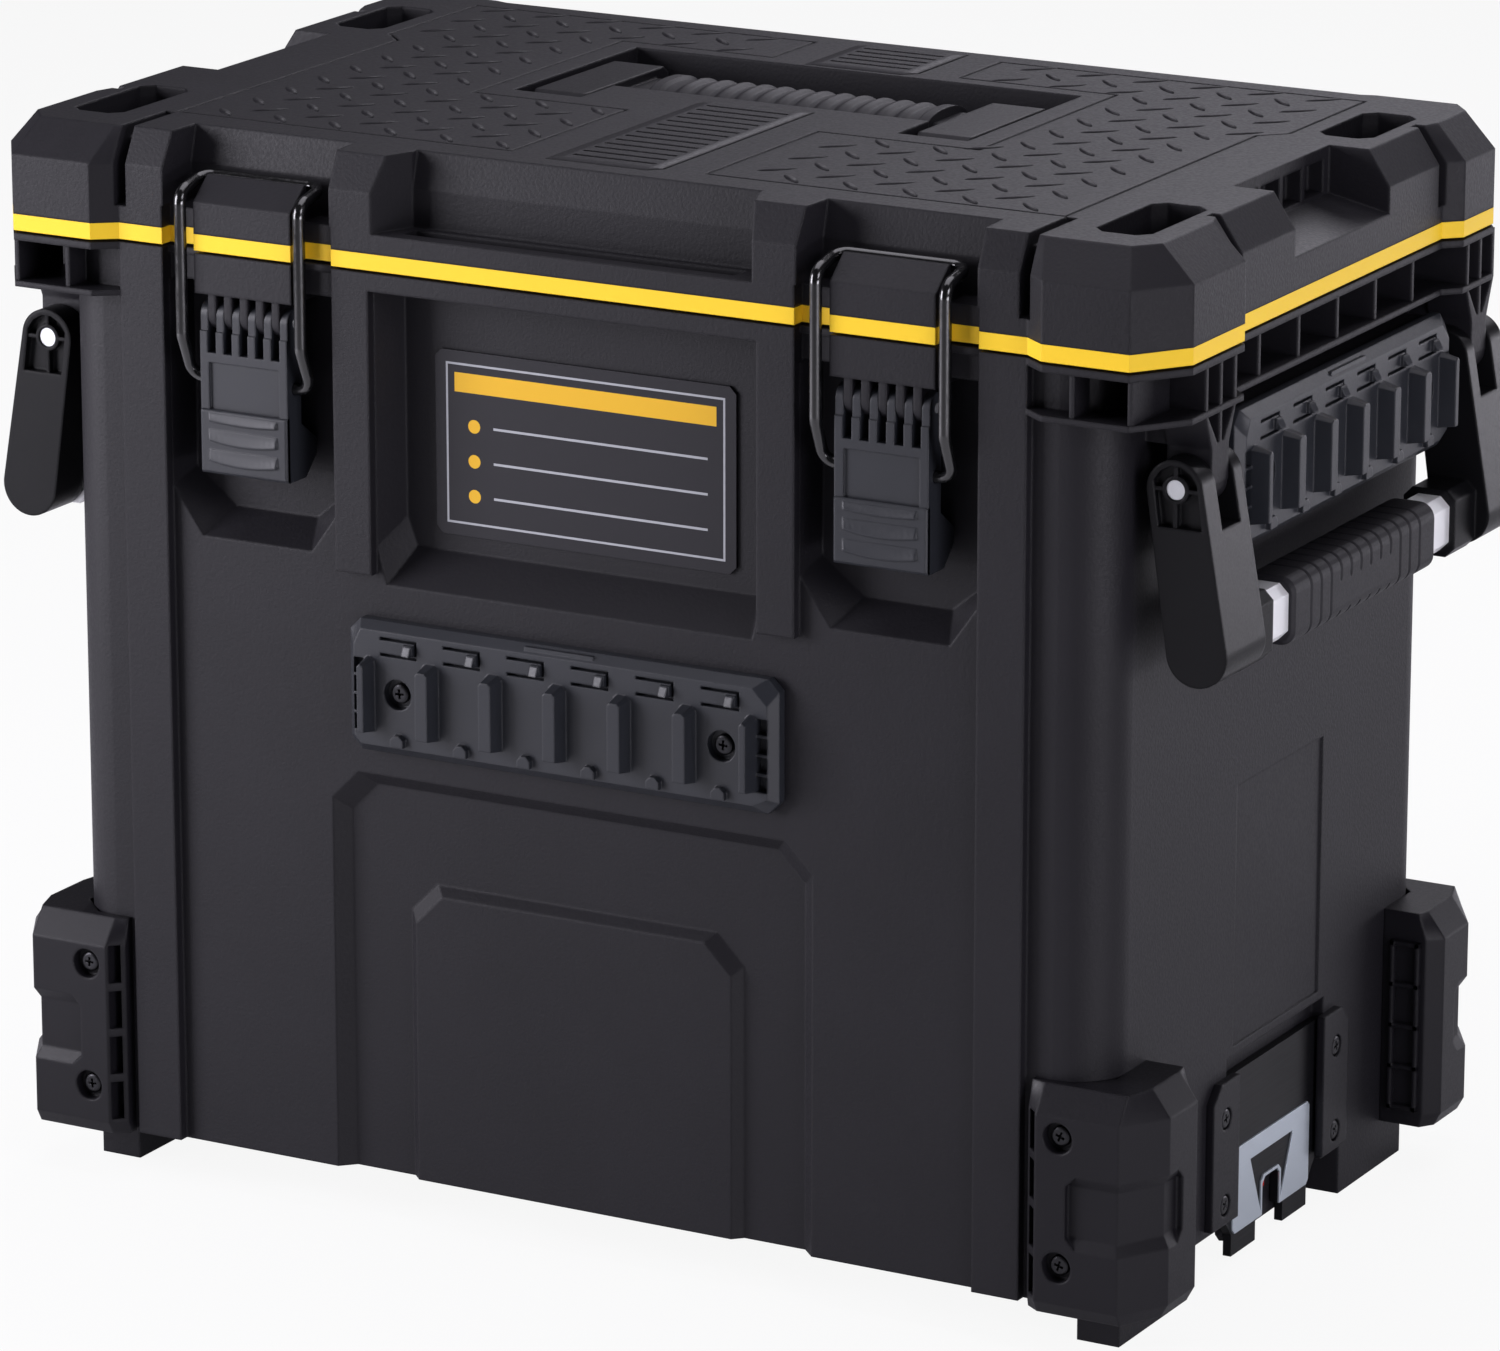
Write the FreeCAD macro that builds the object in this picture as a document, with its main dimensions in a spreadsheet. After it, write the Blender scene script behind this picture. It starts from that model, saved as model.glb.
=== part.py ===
import FreeCAD, Part
import math
import os
import re

import Sketcher
from FreeCAD import Placement, Rotation, Vector

# A stackable site toolbox: body, hinged lid, two toggle latches, three carrying handles,
# three accessory rails, four corner guards and two sliding stack locks.
# X runs to the right, Y to the back, Z up, in millimetres. The feet stand on Z = 0.

SIZES = {
    # overall
    "overall_width": 540.0,
    "overall_depth": 327.4,
    "overall_height": 451.5,
    "middle_y": -2.5,
    "foot_height": 21.0,
    "wall": 3.5,
    # levels of the lid, the yellow band and the rim
    "lid_height": 39.1,
    "lid_shoulder": 14.5,
    "band_height": 6.8,
    "seal_reach": 9.0,
    "seal_width": 5.0,
    "seal_front": 3.5,
    "seal_rear": 2.0,
    "seam_gap": 1.2,
    "rim_flange": 2.9,
    "rim_height": 22.4,
    "rim_lower_flange": 2.4,
    "rim_rib_half": 1.0,
    "rim_rib_set": 1.5,
    "rim_rib_pitch": 36.1,
    "rim_rib_near": 16.0,
    "rim_rib_far": 40.8,
    # outline of the rim and the lid seen from above
    "fascia_set": 7.1,
    "recess_set": 13.5,
    "panel_set": 11.7,
    "pocket_set": 27.1,
    "corner_run_x": 15.8,
    "corner_run_y": 22.7,
    "bumper_reach": 53.3,
    "fin_reach": 62.7,
    "fin_width": 20.8,
    "latch_bay": 80.7,
    "side_set": 6.75,
    "side_front_reach": 68.2,
    "side_rear_reach": 52.45,
    "side_wall_set": 29.0,
    "body_corner": 22.0,
    "lid_chamfer_x": 13.7,
    "lid_chamfer_y": 12.7,
    "fascia_chamfer": 7.6,
    "side_chamfer": 9.75,
    "roof_fin": 2.0,
    "roof_bumper": 5.0,
    "roof_corner": 6.0,
    "roof_side": 2.0,
    "side_shift": 7.9,
    # lid details
    "trough_half": 87.0,
    "trough_slant": 8.0,
    "trough_floor": 31.0,
    "trough_back": 26.7,
    "trough_lean": 4.0,
    "trough_lean_height": 15.0,
    "trough_lip": 7.0,
    "trough_slot": 4.0,
    "lid_roof": 4.0,
    "lid_cavity_side": 52.0,
    "lid_cavity_front": 34.7,
    "lid_cavity_rear": 25.2,
    "scoop_half": 44.4,
    "scoop_floor": 25.5,
    "scoop_depth": 34.0,
    "scoop_rise": 6.0,
    "scoop_cell_pitch": 20.5,
    "scoop_cell_web": 3.0,
    "scoop_cell_deep": 7.0,
    "scoop_cell_drop": 5.0,
    "groove_width": 5.2,
    "groove_bottom": 32.0,
    "groove_depth": 19.0,
    "groove_run": 46.0,
    "side_groove_run": 20.0,
    "groove_step": 6.0,
    "groove_lip": 2.0,
    "groove_shift": 1.5,
    "pocket_depth": 15.0,
    "pocket_width": 24.0,
    "pocket_inset": 24.0,
    "pocket_front_gap": 30.2,
    "pocket_front_long": 57.5,
    "pocket_rear_gap": 43.9,
    "pocket_rear_long": 51.2,
    "pocket_corner": 5.0,
    "line_width": 1.4,
    "line_depth": 0.9,
    "line_front_end": 54.0,
    "line_rear_start": 64.0,
    "line_step": 10.0,
    "line_rear_set": 26.0,
    "line_inner": 44.0,
    "line_inner_end": 24.0,
    "line_well": 117.0,
    "edge_line_set": 66.3,
    "grille_pitch": 3.2,
    "grille_start": 48.0,
    "grille_long": 116.0,
    # front of the body
    "block_rim": 16.9,
    "block_drop": 125.4,
    "label_lip": 7.4,
    "label_inner_drop": 116.2,
    "label_outer_drop": 130.6,
    "label_inner_half": 79.2,
    "label_outer_half": 84.6,
    "label_outer_shoulder": 16.0,
    "label_inner_shoulder": 12.0,
    "label_set": 27.7,
    "label_half": 69.3,
    "label_low_drop": 108.9,
    "label_tall": 76.7,
    "label_thick": 1.2,
    "pocket_lip": 13.4,
    "pocket_inner_drop": 110.1,
    "pocket_outer_drop": 121.0,
    "pocket_inner_half": 19.8,
    "pocket_outer_half": 26.6,
    "pocket_shoulder": 20.0,
    "arch_half": 111.8,
    "arch_gap": 11.5,
    "arch_corner": 12.5,
    "arch_depth": 6.0,
    "inner_arch_half": 77.8,
    "inner_arch_drop": 45.0,
    "inner_arch_raise": 4.0,
    # latches
    "boss_half": 23.1,
    "boss_set": 4.1,
    "boss_drop": 16.4,
    "boss_front_height": 13.1,
    "hook_height": 22.6,
    "hook_back": 16.7,
    "shelf_height": 18.6,
    "latch_axis_set": 10.7,
    "latch_axis_drop": 25.4,
    "knuckle_round": 6.2,
    "knuckle_pitch": 7.6,
    "knuckle_width": 3.5,
    "latch_pin_round": 2.0,
    "lever_half": 20.7,
    "lever_front_set": 3.7,
    "lever_bottom_drop": 90.9,
    "lever_top_drop": 31.6,
    "lever_thick": 10.5,
    "lever_foot": 21.5,
    "lever_heel": 13.5,
    "lever_heel_rise": 8.3,
    "lever_foot_rise": 15.0,
    "lever_neck_rise": 23.0,
    "lever_edge": 4.0,
    "lever_panel_low": 16.0,
    "lever_panel_deep": 1.2,
    "ridge_low": 4.5,
    "ridge_pitch": 3.6,
    "ridge_round": 0.9,
    "comb_gap": 0.3,
    "comb_drop": 40.4,
    "wire_round": 2.5,
    "bail_half": 28.3,
    "bail_leg_set": 2.4,
    "bail_bar_set": 20.7,
    "bail_pivot_set": 9.7,
    "bail_pivot_drop": 52.4,
    "bail_bend": 6.0,
    "bail_tip": 7.0,
    "bail_knee": 18.0,
    "bail_shoulder": 4.0,
    "running_gap": 0.05,
    # accessory rails
    "rail_drop": 171.2,
    "rail_height": 55.5,
    "rail_corner": 5.0,
    "rail_thick": 8.0,
    "rail_edge": 4.2,
    "rail_bevel": 3.6,
    "rail_rib": 7.5,
    "rail_rib_width": 7.8,
    "rail_rib_draft": 1.1,
    "rail_rib_tip": 1.8,
    "rail_rib_low": 9.5,
    "rail_rib_drop": 14.5,
    "rail_pitch": 29.8,
    "rail_fin_set": 10.9,
    "rail_fin_width": 5.0,
    "rail_cell_web": 1.2,
    "rail_cell_deep": 4.0,
    "rail_tab_half": 16.0,
    "rail_end_gap": 7.6,
    "tongue_half": 8.7,
    "tongue_tall": 8.0,
    "tongue_slot": 1.3,
    "tongue_drop": 9.8,
    "tongue_deep": 3.0,
    "tongue_block": 4.4,
    "tongue_rise": 1.6,
    "stop_half": 3.0,
    "stop_tall": 5.0,
    "stop_low": 4.6,
    "stop_rise": 2.5,
    "side_rail_drop": 56.9,
    "rail_seat_x": 10.0,
    "rail_screw_share": 0.756,
    "rail_screw_sink": 1.5,
    "screw_head_round": 4.2,
    "screw_head_high": 2.6,
    "screw_shank_round": 2.0,
    "screw_long": 10.0,
    "counterbore_round": 6.4,
    # side handles
    "post_reach": 49.2,
    "post_width": 14.6,
    "post_top_width": 27.2,
    "post_neck_drop": 36.4,
    "post_depth": 19.3,
    "post_set": 0.5,
    "post_web": 2.0,
    "post_window_deep": 7.0,
    "handle_pin_x": 10.3,
    "handle_pin_drop": 50.9,
    "handle_pin_round": 4.0,
    "post_round": 9.5,
    "arm_front_half": 19.5,
    "arm_back_half": 15.5,
    "fork_gap": 0.9,
    "fork_bottom": 16.5,
    "arm_window_half": 9.3,
    "arm_window_low": 15.0,
    "arm_window_high": 9.4,
    "arm_window_deep": 3.5,
    "arm_boss_round": 5.6,
    "arm_boss_set": 0.5,
    "arm_web": 1.6,
    "arm_top_round": 12.0,
    "arm_low_round": 13.0,
    "arm_out": 10.3,
    "arm_long": 64.5,
    "bar_out": 5.3,
    "bar_wide": 18.0,
    "bar_tall": 23.0,
    "bar_wall": 2.0,
    "bar_corner": 4.0,
    "socket_long": 20.0,
    "socket_thick": 2.6,
    "bar_bare": 17.0,
    "bar_in": 13.0,
    "grip_thick": 2.6,
    "grip_ring_pitch": 8.0,
    "grip_ring_width": 1.6,
    "grip_ring_deep": 1.0,
    # top handle
    "top_pivot_y": -0.5,
    "top_pivot_drop": 10.5,
    "top_arm_in": 78.0,
    "top_arm_out": 102.0,
    "top_arm_back": 66.0,
    "top_arm_front": 8.0,
    "top_arm_low": 8.0,
    "top_sink": 1.0,
    "top_grip_half": 66.0,
    "top_grip_front": 24.0,
    "top_grip_back": 64.0,
    "top_grip_low": 11.0,
    "top_core_inset": 5.0,
    "top_groove_deep": 1.6,
    "top_groove_half": 1.4,
    "top_clear": 4.0,
    "top_pocket_front": 14.0,
    "top_pocket_back": 88.0,
    "top_pocket_deep": 27.5,
    "top_tongue": 13.0,
    "top_pin_round": 3.0,
    "top_pin_in": 12.0,
    # corner guards
    "guard_front_reach": 58.2,
    "guard_bevel": 6.0,
    "guard_bevel_share": 0.4,
    "guard_side_set": 3.5,
    "guard_side_end": 51.0,
    "guard_low": 20.0,
    "guard_low_chamfer": 5.5,
    "guard_face_top": 103.0,
    "guard_top": 114.0,
    "guard_chamfer": 8.0,
    "guard_gap": 0.4,
    "guard_panel_low": 48.5,
    "guard_panel_high": 80.0,
    "guard_panel_deep": 3.0,
    "guard_panel_run": 5.0,
    "guard_cell_pitch": 20.0,
    "guard_cell_tall": 16.5,
    "guard_cell_wall": 1.4,
    "guard_panel_start": 39.0,
    "guard_panel_end": 33.2,
    "guard_screw_x": 42.5,
    "guard_screw_low": 40.8,
    "guard_screw_high": 94.5,
    "guard_screw_sink": 5.0,
    # stack locks
    "lock_shift": -0.5,
    "lock_half": 40.5,
    "lock_wing": 5.5,
    "lock_top": 91.2,
    "lock_deep": 5.5,
    "bracket_thick": 3.6,
    "bracket_seat": 0.8,
    "bracket_hole_round": 4.7,
    "bracket_wide": 24.0,
    "bracket_low": 24.0,
    "bracket_high": 85.0,
    "bracket_corner": 7.0,
    "lock_screw_half": 52.7,
    "lock_screw_low": 32.4,
    "lock_screw_high": 69.5,
    "slider_top": 83.0,
    "slider_low": 13.5,
    "slider_thick": 3.6,
    "slider_gap": 0.4,
    "hook_low": 4.0,
    "hook_in": 13.0,
    "hook_out": 36.0,
    "face_half": 36.2,
    "face_top": 50.0,
    "face_thick": 0.8,
    "key_half": 8.3,
    "key_top": 29.6,
    "key_corner": 2.5,
    "key_lip": 1.2,
    "cutout_half": 20.4,
    "cutout_top": 41.6,
    "lock_panel_top": 206.0,
    "flag_half": 3.0,
    "flag_rise": 1.0,
    "flag_tall": 5.0,
    # feet and rear hinge
    "foot_width": 18.6,
    "foot_front_reach": 29.7,
    "foot_long": 62.0,
    "hinge_out": 3.8,
    "hinge_round": 5.0,
    "hinge_pin_round": 2.5,
    "hinge_place": 120.0,
    "hinge_half": 20.0,
    "hinge_leaf": 7.5,
    "hinge_leaf_tall": 10.0,
    "hinge_gap": 0.5,
}

# Levels and outline points worked out from the sizes above.
WORKED_OUT = {
    "half_width": "overall_width / 2",
    "front_y": "middle_y - overall_depth / 2",
    "rear_y": "middle_y + overall_depth / 2",
    "side_middle": "middle_y + side_shift",
    "lid_top": "overall_height",
    "band_high": "overall_height - lid_height",
    "band_low": "band_high - band_height",
    "rim_top": "band_low - seam_gap",
    "shoulder_z": "lid_top - lid_shoulder",
    "fascia_y": "front_y + fascia_set",
    "rear_fascia_y": "rear_y - fascia_set",
    "recess_y": "front_y + recess_set",
    "panel_y": "front_y + panel_set",
    "rear_panel_y": "rear_y - panel_set",
    "pocket_y": "front_y + pocket_set",
    "side_wall_x": "half_width - side_wall_set",
    "fin_out": "half_width - fin_reach",
    "fin_in": "fin_out - fin_width",
    "block_half": "fin_in - latch_bay",
    "latch_x": "(block_half + fin_in) / 2",
    "label_recess_half": "block_half - block_rim",
    "trough_y": "front_y + trough_back",
    "trough_z": "lid_top - trough_floor",
    "boss_y": "front_y + boss_set",
    "latch_axis_y": "front_y + latch_axis_set",
    "latch_axis_z": "rim_top - latch_axis_drop",
    "post_y": "front_y + post_reach",
    "rear_post_y": "2 * side_middle - post_y",
    "pin_x": "half_width - handle_pin_x",
    "pin_z": "rim_top - handle_pin_drop",
    "arm_front_y": "post_y - arm_front_half",
    "arm_back_y": "post_y + arm_back_half",
    "bar_x": "pin_x + bar_out",
    "bar_z": "pin_z - arm_long",
    "low_arm_x": "pin_x + arm_out",
    "rail_half": "side_middle - arm_back_y - rail_end_gap",
    "rail_z": "rim_top - rail_drop",
    "side_rail_z": "rim_top - side_rail_drop",
    "rail_seat": "half_width - rail_seat_x",
    "arch_top": "rail_z - rail_height / 2 - arch_gap",
    "top_pivot_z": "lid_top - top_pivot_drop",
    "lock_y": "side_middle + lock_shift",
    "lock_floor_x": "side_wall_x - lock_deep",
    "hinge_y": "rear_y + hinge_out",
    "hinge_z": "(rim_top + band_low) / 2",
}

SIDEWAYS = Vector(1, 0, 0)
BACKWARD = Vector(0, 1, 0)
Pair = tuple[str, str]
WORD = re.compile(r"[a-z_]+")

doc = FreeCAD.newDocument("toolbox")
sheet = doc.addObject("Spreadsheet::Sheet", "dims")
for row, (word, number) in enumerate(SIZES.items(), start=1):
    sheet.set(f"A{row}", word)
    sheet.set(f"B{row}", str(number))
    sheet.setAlias(f"B{row}", word)
doc.recompute()
nodes = {}


def bind(text: str) -> str:
    """Return an expression in sheet cells for a text in plain size names."""
    def swap(match: re.Match) -> str:
        word = match.group(0)
        if word in WORKED_OUT:
            return f"({bind(WORKED_OUT[word])})"
        return f"dims.{word}" if word in SIZES else word
    return WORD.sub(swap, text)


def value(text: str) -> float:
    """Return the present number of a text in size names."""
    return float(sheet.evalExpression(bind(text).replace("dims.", "")))


class Ring:
    """A circle in a sketch.

    Args:
        across: first coordinate of the centre.
        along: second coordinate of the centre.
        radius: radius of the circle.
    """

    def __init__(self, across: str, along: str, radius: str):
        self.across = across
        self.along = along
        self.radius = radius


def box(left: str, right: str, low: str, high: str) -> list[Pair]:
    """Return the four corners of a rectangle."""
    return [(left, low), (right, low), (right, high), (left, high)]


def moved(loop: list[Pair], across: str) -> list[Pair]:
    """Return an outline shifted along its first coordinate."""
    return [(f"{u} + ({across})", v) for u, v in loop]


def flip(loop):
    """Return an outline mirrored in its first coordinate."""
    if isinstance(loop, Ring):
        return Ring(f"-({loop.across})", loop.along, loop.radius)
    return [(f"-({u})", v) for u, v in reversed(loop)]


def both(half: list[Pair]) -> list[Pair]:
    """Return a closed outline from its right-hand half, front to back."""
    return half + flip(half)


class Piece:
    """One moulded, pressed or turned piece built as a body of sketched features."""

    PLANES = {"X": ("YZ_Plane", 1), "Y": ("XZ_Plane", -1), "Z": ("XY_Plane", 1)}

    def __init__(self, label: str, half: bool = False):
        self.body = doc.addObject("PartDesign::Body", f"{label}_half" if half else label)
        self.label = label
        self.half = half
        self.count = 0
        nodes[label] = self.body

    def name(self, kind: str) -> str:
        """Return a fresh feature name."""
        self.count += 1
        return f"{self.label}_{kind}_{self.count}"

    def sketch(self, axis: str, level: str, loops: list):
        """Draw loops square to an axis at a level and bind every point.

        Args:
            axis: the axis that the sketch faces along.
            level: text for the place of the sketch on that axis.
            loops: polygons (lists of point texts) and rings.

        Returns:
            the sketch object.
        """
        role, sign = self.PLANES[axis]
        plane = next(f for f in self.body.Origin.OriginFeatures if f.Role == role)
        drawing = self.body.newObject("Sketcher::SketchObject", self.name("sketch"))
        drawing.AttachmentSupport = (plane, [""])
        drawing.MapMode = "FlatFace"
        offset = bind(level) if sign > 0 else f"-({bind(level)})"
        drawing.setExpression("AttachmentOffset.Base.z", offset)
        shapes = []
        pins = []
        for loop in loops:
            draw = self.ring_parts if isinstance(loop, Ring) else self.polygon_parts
            more_shapes, more_pins = draw(loop, len(shapes))
            shapes += more_shapes
            pins += more_pins
        drawing.addGeometry(shapes)
        drawing.addConstraint([constraint for constraint, _ in pins])
        for place, (_, text) in enumerate(pins):
            if text is not None:
                drawing.setExpression(f"Constraints[{place}]", bind(text))
        return drawing

    @staticmethod
    def ring_parts(ring: Ring, first: int) -> tuple[list, list]:
        """Return a circle and its constraints, each with the text that drives it."""
        centre = Vector(value(ring.across), value(ring.along), 0)
        radius = value(ring.radius)
        pins = [
            (Sketcher.Constraint("DistanceX", -1, 1, first, 3, centre.x), ring.across),
            (Sketcher.Constraint("DistanceY", -1, 1, first, 3, centre.y), ring.along),
            (Sketcher.Constraint("Radius", first, radius), ring.radius),
        ]
        return [Part.Circle(centre, Vector(0, 0, 1), radius)], pins

    @staticmethod
    def polygon_parts(loop: list[Pair], first: int) -> tuple[list, list]:
        """Return a polygon's lines and constraints, each with the text that drives it."""
        corners = [Vector(value(u), value(v), 0) for u, v in loop]
        size = len(corners)
        lines = []
        pins = []
        for i, (u, v) in enumerate(loop):
            following = (i + 1) % size
            lines.append(Part.LineSegment(corners[i], corners[following]))
            joint = Sketcher.Constraint("Coincident", first + i, 2, first + following, 1)
            across = Sketcher.Constraint("DistanceX", -1, 1, first + i, 1, corners[i].x)
            along = Sketcher.Constraint("DistanceY", -1, 1, first + i, 1, corners[i].y)
            pins += [(joint, None), (across, u), (along, v)]
        return lines, pins

    def prism(self, kind: str, axis: str, low: str, high: str, loops: list):
        """Add or cut a straight prism between two levels of an axis."""
        _, sign = self.PLANES[axis]
        rising = (kind == "Pad") == (sign > 0)
        feature_sketch = self.sketch(axis, low if rising else high, loops)
        feature = self.body.newObject(f"PartDesign::{kind}", self.name(kind.lower()))
        feature.Profile = feature_sketch
        feature.Refine = False
        feature.setExpression("Length", f"({bind(high)}) - ({bind(low)})")
        return feature

    def pad(self, axis: str, low: str, high: str, *loops, twin: bool = False):
        """Add a prism; twin adds the mirrored loops too, unless the piece is a half."""
        extra = [flip(loop) for loop in loops] if twin and not self.half else []
        return self.prism("Pad", axis, low, high, list(loops) + extra)

    def cut(self, axis: str, low: str, high: str, *loops, twin: bool = False):
        """Cut a prism; twin cuts the mirrored loops too, unless the piece is a half."""
        extra = [flip(loop) for loop in loops] if twin and not self.half else []
        return self.prism("Pocket", axis, low, high, list(loops) + extra)

    def pad_sides(self, low: str, high: str, *loops) -> None:
        """Add the same prism on the right and the left side along X."""
        self.pad("X", low, high, *loops)
        if not self.half:
            self.pad("X", f"-({high})", f"-({low})", *loops)

    def cut_sides(self, low: str, high: str, *loops) -> None:
        """Cut the same prism on the right and the left side along X."""
        self.cut("X", low, high, *loops)
        if not self.half:
            self.cut("X", f"-({high})", f"-({low})", *loops)

    def taper(self, kind: str, axis: str, low: str, low_loop: list, high: str, high_loop: list):
        """Add (Additive) or cut (Subtractive) a ruled loft between two outlines."""
        start = self.sketch(axis, low, [low_loop])
        end = self.sketch(axis, high, [high_loop])
        feature = self.body.newObject(f"PartDesign::{kind}Loft", self.name("loft"))
        feature.Profile = start
        feature.Sections = [end]
        feature.Ruled = True
        feature.Refine = False
        return feature

    def repeat(self, feature, direction: str, count: int, step: str) -> None:
        """Repeat a feature in a row.

        Args:
            feature: the first one of the row.
            direction: H_Axis along the sketch's first axis, N_Axis square to the sketch.
            count: how many there are in all.
            step: text for the distance from one to the next.
        """
        row = self.body.newObject("PartDesign::LinearPattern", self.name("row"))
        row.Originals = [feature]
        row.Direction = (feature.Profile[0], [direction])
        row.Occurrences = count
        row.setExpression("Length", f"({bind(step)}) * {count - 1}")
        row.Refine = False
        self.body.Tip = row

    def round_edges(self, radius: str, chosen) -> None:
        """Round the edges of the present solid that a test chooses."""
        doc.recompute()
        base = self.body.Tip
        edges = [f"Edge{i}" for i, e in enumerate(base.Shape.Edges, 1) if chosen(e)]
        feature = self.body.newObject("PartDesign::Fillet", self.name("fillet"))
        feature.Base = (base, edges)
        feature.setExpression("Radius", bind(radius))

    def keep_right(self) -> None:
        """Cut away everything left of the middle plane."""
        self.cut("X", "-overall_width", "0",
                 box("-overall_depth", "overall_depth", "-overall_height", "2 * overall_height"))

    def make_whole(self) -> None:
        """Join a right half to its mirror image and make that the node."""
        left = doc.addObject("Part::Mirroring", f"{self.label}_left_half")
        left.Source = self.body
        left.Normal = SIDEWAYS
        whole = doc.addObject("Part::Fuse", self.label)
        whole.Label = self.label
        whole.Base = self.body
        whole.Tool = left
        whole.Refine = True
        nodes[self.label] = whole


def mirrored(label: str, source: str, normal: Vector, base_y: str = "0") -> None:
    """Add a node that is the mirror image of another node."""
    twin = doc.addObject("Part::Mirroring", label)
    twin.Label = label
    twin.Source = nodes[source]
    twin.Normal = normal
    twin.setExpression("Base.y", bind(base_y))
    nodes[label] = twin


def upright(edge) -> bool:
    """Tell whether an edge runs straight up."""
    box_size = edge.BoundBox
    return box_size.ZLength > 1 and box_size.XLength < 1e-6 and box_size.YLength < 1e-6


def side_outline(inset: str) -> list[Pair]:
    """Return the right-hand outline from the front fin round to the rear fin.

    Args:
        inset: how far the outline is drawn in from the bumper faces.
    """
    return [
        ("fin_out", f"fascia_y + {inset}"),
        ("half_width - bumper_reach", f"front_y + {inset}"),
        ("half_width - corner_run_x", f"front_y + {inset}"),
        (f"half_width - {inset}", "front_y + corner_run_y"),
        (f"half_width - {inset}", "front_y + side_front_reach"),
        (f"half_width - side_set - {inset}", "front_y + side_front_reach + side_set"),
        (f"half_width - side_set - {inset}", "rear_y - side_rear_reach - side_set"),
        (f"half_width - {inset}", "rear_y - side_rear_reach"),
        (f"half_width - {inset}", "rear_y - corner_run_y"),
        ("half_width - corner_run_x", f"rear_y - {inset}"),
        ("half_width - bumper_reach", f"rear_y - {inset}"),
        ("fin_out", f"rear_fascia_y - {inset}"),
    ]


def band_outline() -> list[Pair]:
    """Return the closed outline of the band, stepping round both latch bosses."""
    front = [
        ("block_half", "fascia_y"),
        ("block_half", "recess_y"),
        ("latch_x - boss_half", "recess_y"),
        ("latch_x - boss_half", "boss_y"),
        ("latch_x + boss_half", "boss_y"),
        ("latch_x + boss_half", "recess_y"),
        ("fin_in", "recess_y"),
        ("fin_in", "fascia_y"),
    ]
    return both(front + side_outline("0"))


def lid_roof_outline() -> list[Pair]:
    """Return the outline of the lid's top, matched point by point to the lid's side."""
    return both([
        ("fin_out - roof_fin", "fascia_y + fascia_chamfer"),
        ("half_width - bumper_reach - roof_bumper", "front_y + lid_chamfer_y"),
        ("half_width - corner_run_x - roof_corner", "front_y + lid_chamfer_y"),
        ("half_width - lid_chamfer_x", "front_y + corner_run_y"),
        ("half_width - lid_chamfer_x", "front_y + side_front_reach - roof_side"),
        ("half_width - side_set - side_chamfer", "front_y + side_front_reach + side_set"),
        ("half_width - side_set - side_chamfer", "rear_y - side_rear_reach - side_set"),
        ("half_width - lid_chamfer_x", "rear_y - side_rear_reach + roof_side"),
        ("half_width - lid_chamfer_x", "rear_y - corner_run_y"),
        ("half_width - corner_run_x - roof_corner", "rear_y - lid_chamfer_y"),
        ("half_width - bumper_reach - roof_bumper", "rear_y - lid_chamfer_y"),
        ("fin_out - roof_fin", "rear_fascia_y - fascia_chamfer"),
    ])


def lid_cavity() -> list[Pair]:
    """Return the outline of the hollow under the lid, which the band shares."""
    return box(
        "-(half_width - lid_cavity_side)",
        "half_width - lid_cavity_side",
        "front_y + lid_cavity_front",
        "rear_y - lid_cavity_rear",
    )


def hinge_leaf(wall_y: str, far: str, near: str) -> list[Pair]:
    """Return the outline of a hinge leaf between the rear wall and its barrel.

    Args:
        wall_y: where the leaf starts inside the wall.
        far: level of the leaf's edge away from the barrel.
        near: level at which the leaf leaves the wall beside the barrel.
    """
    return [
        (wall_y, far),
        (wall_y, near),
        ("rear_fascia_y + guard_gap", near),
        ("hinge_y - hinge_round", "hinge_z"),
        ("hinge_y + hinge_round", "hinge_z"),
        ("rear_fascia_y + wall", far),
    ]


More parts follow.
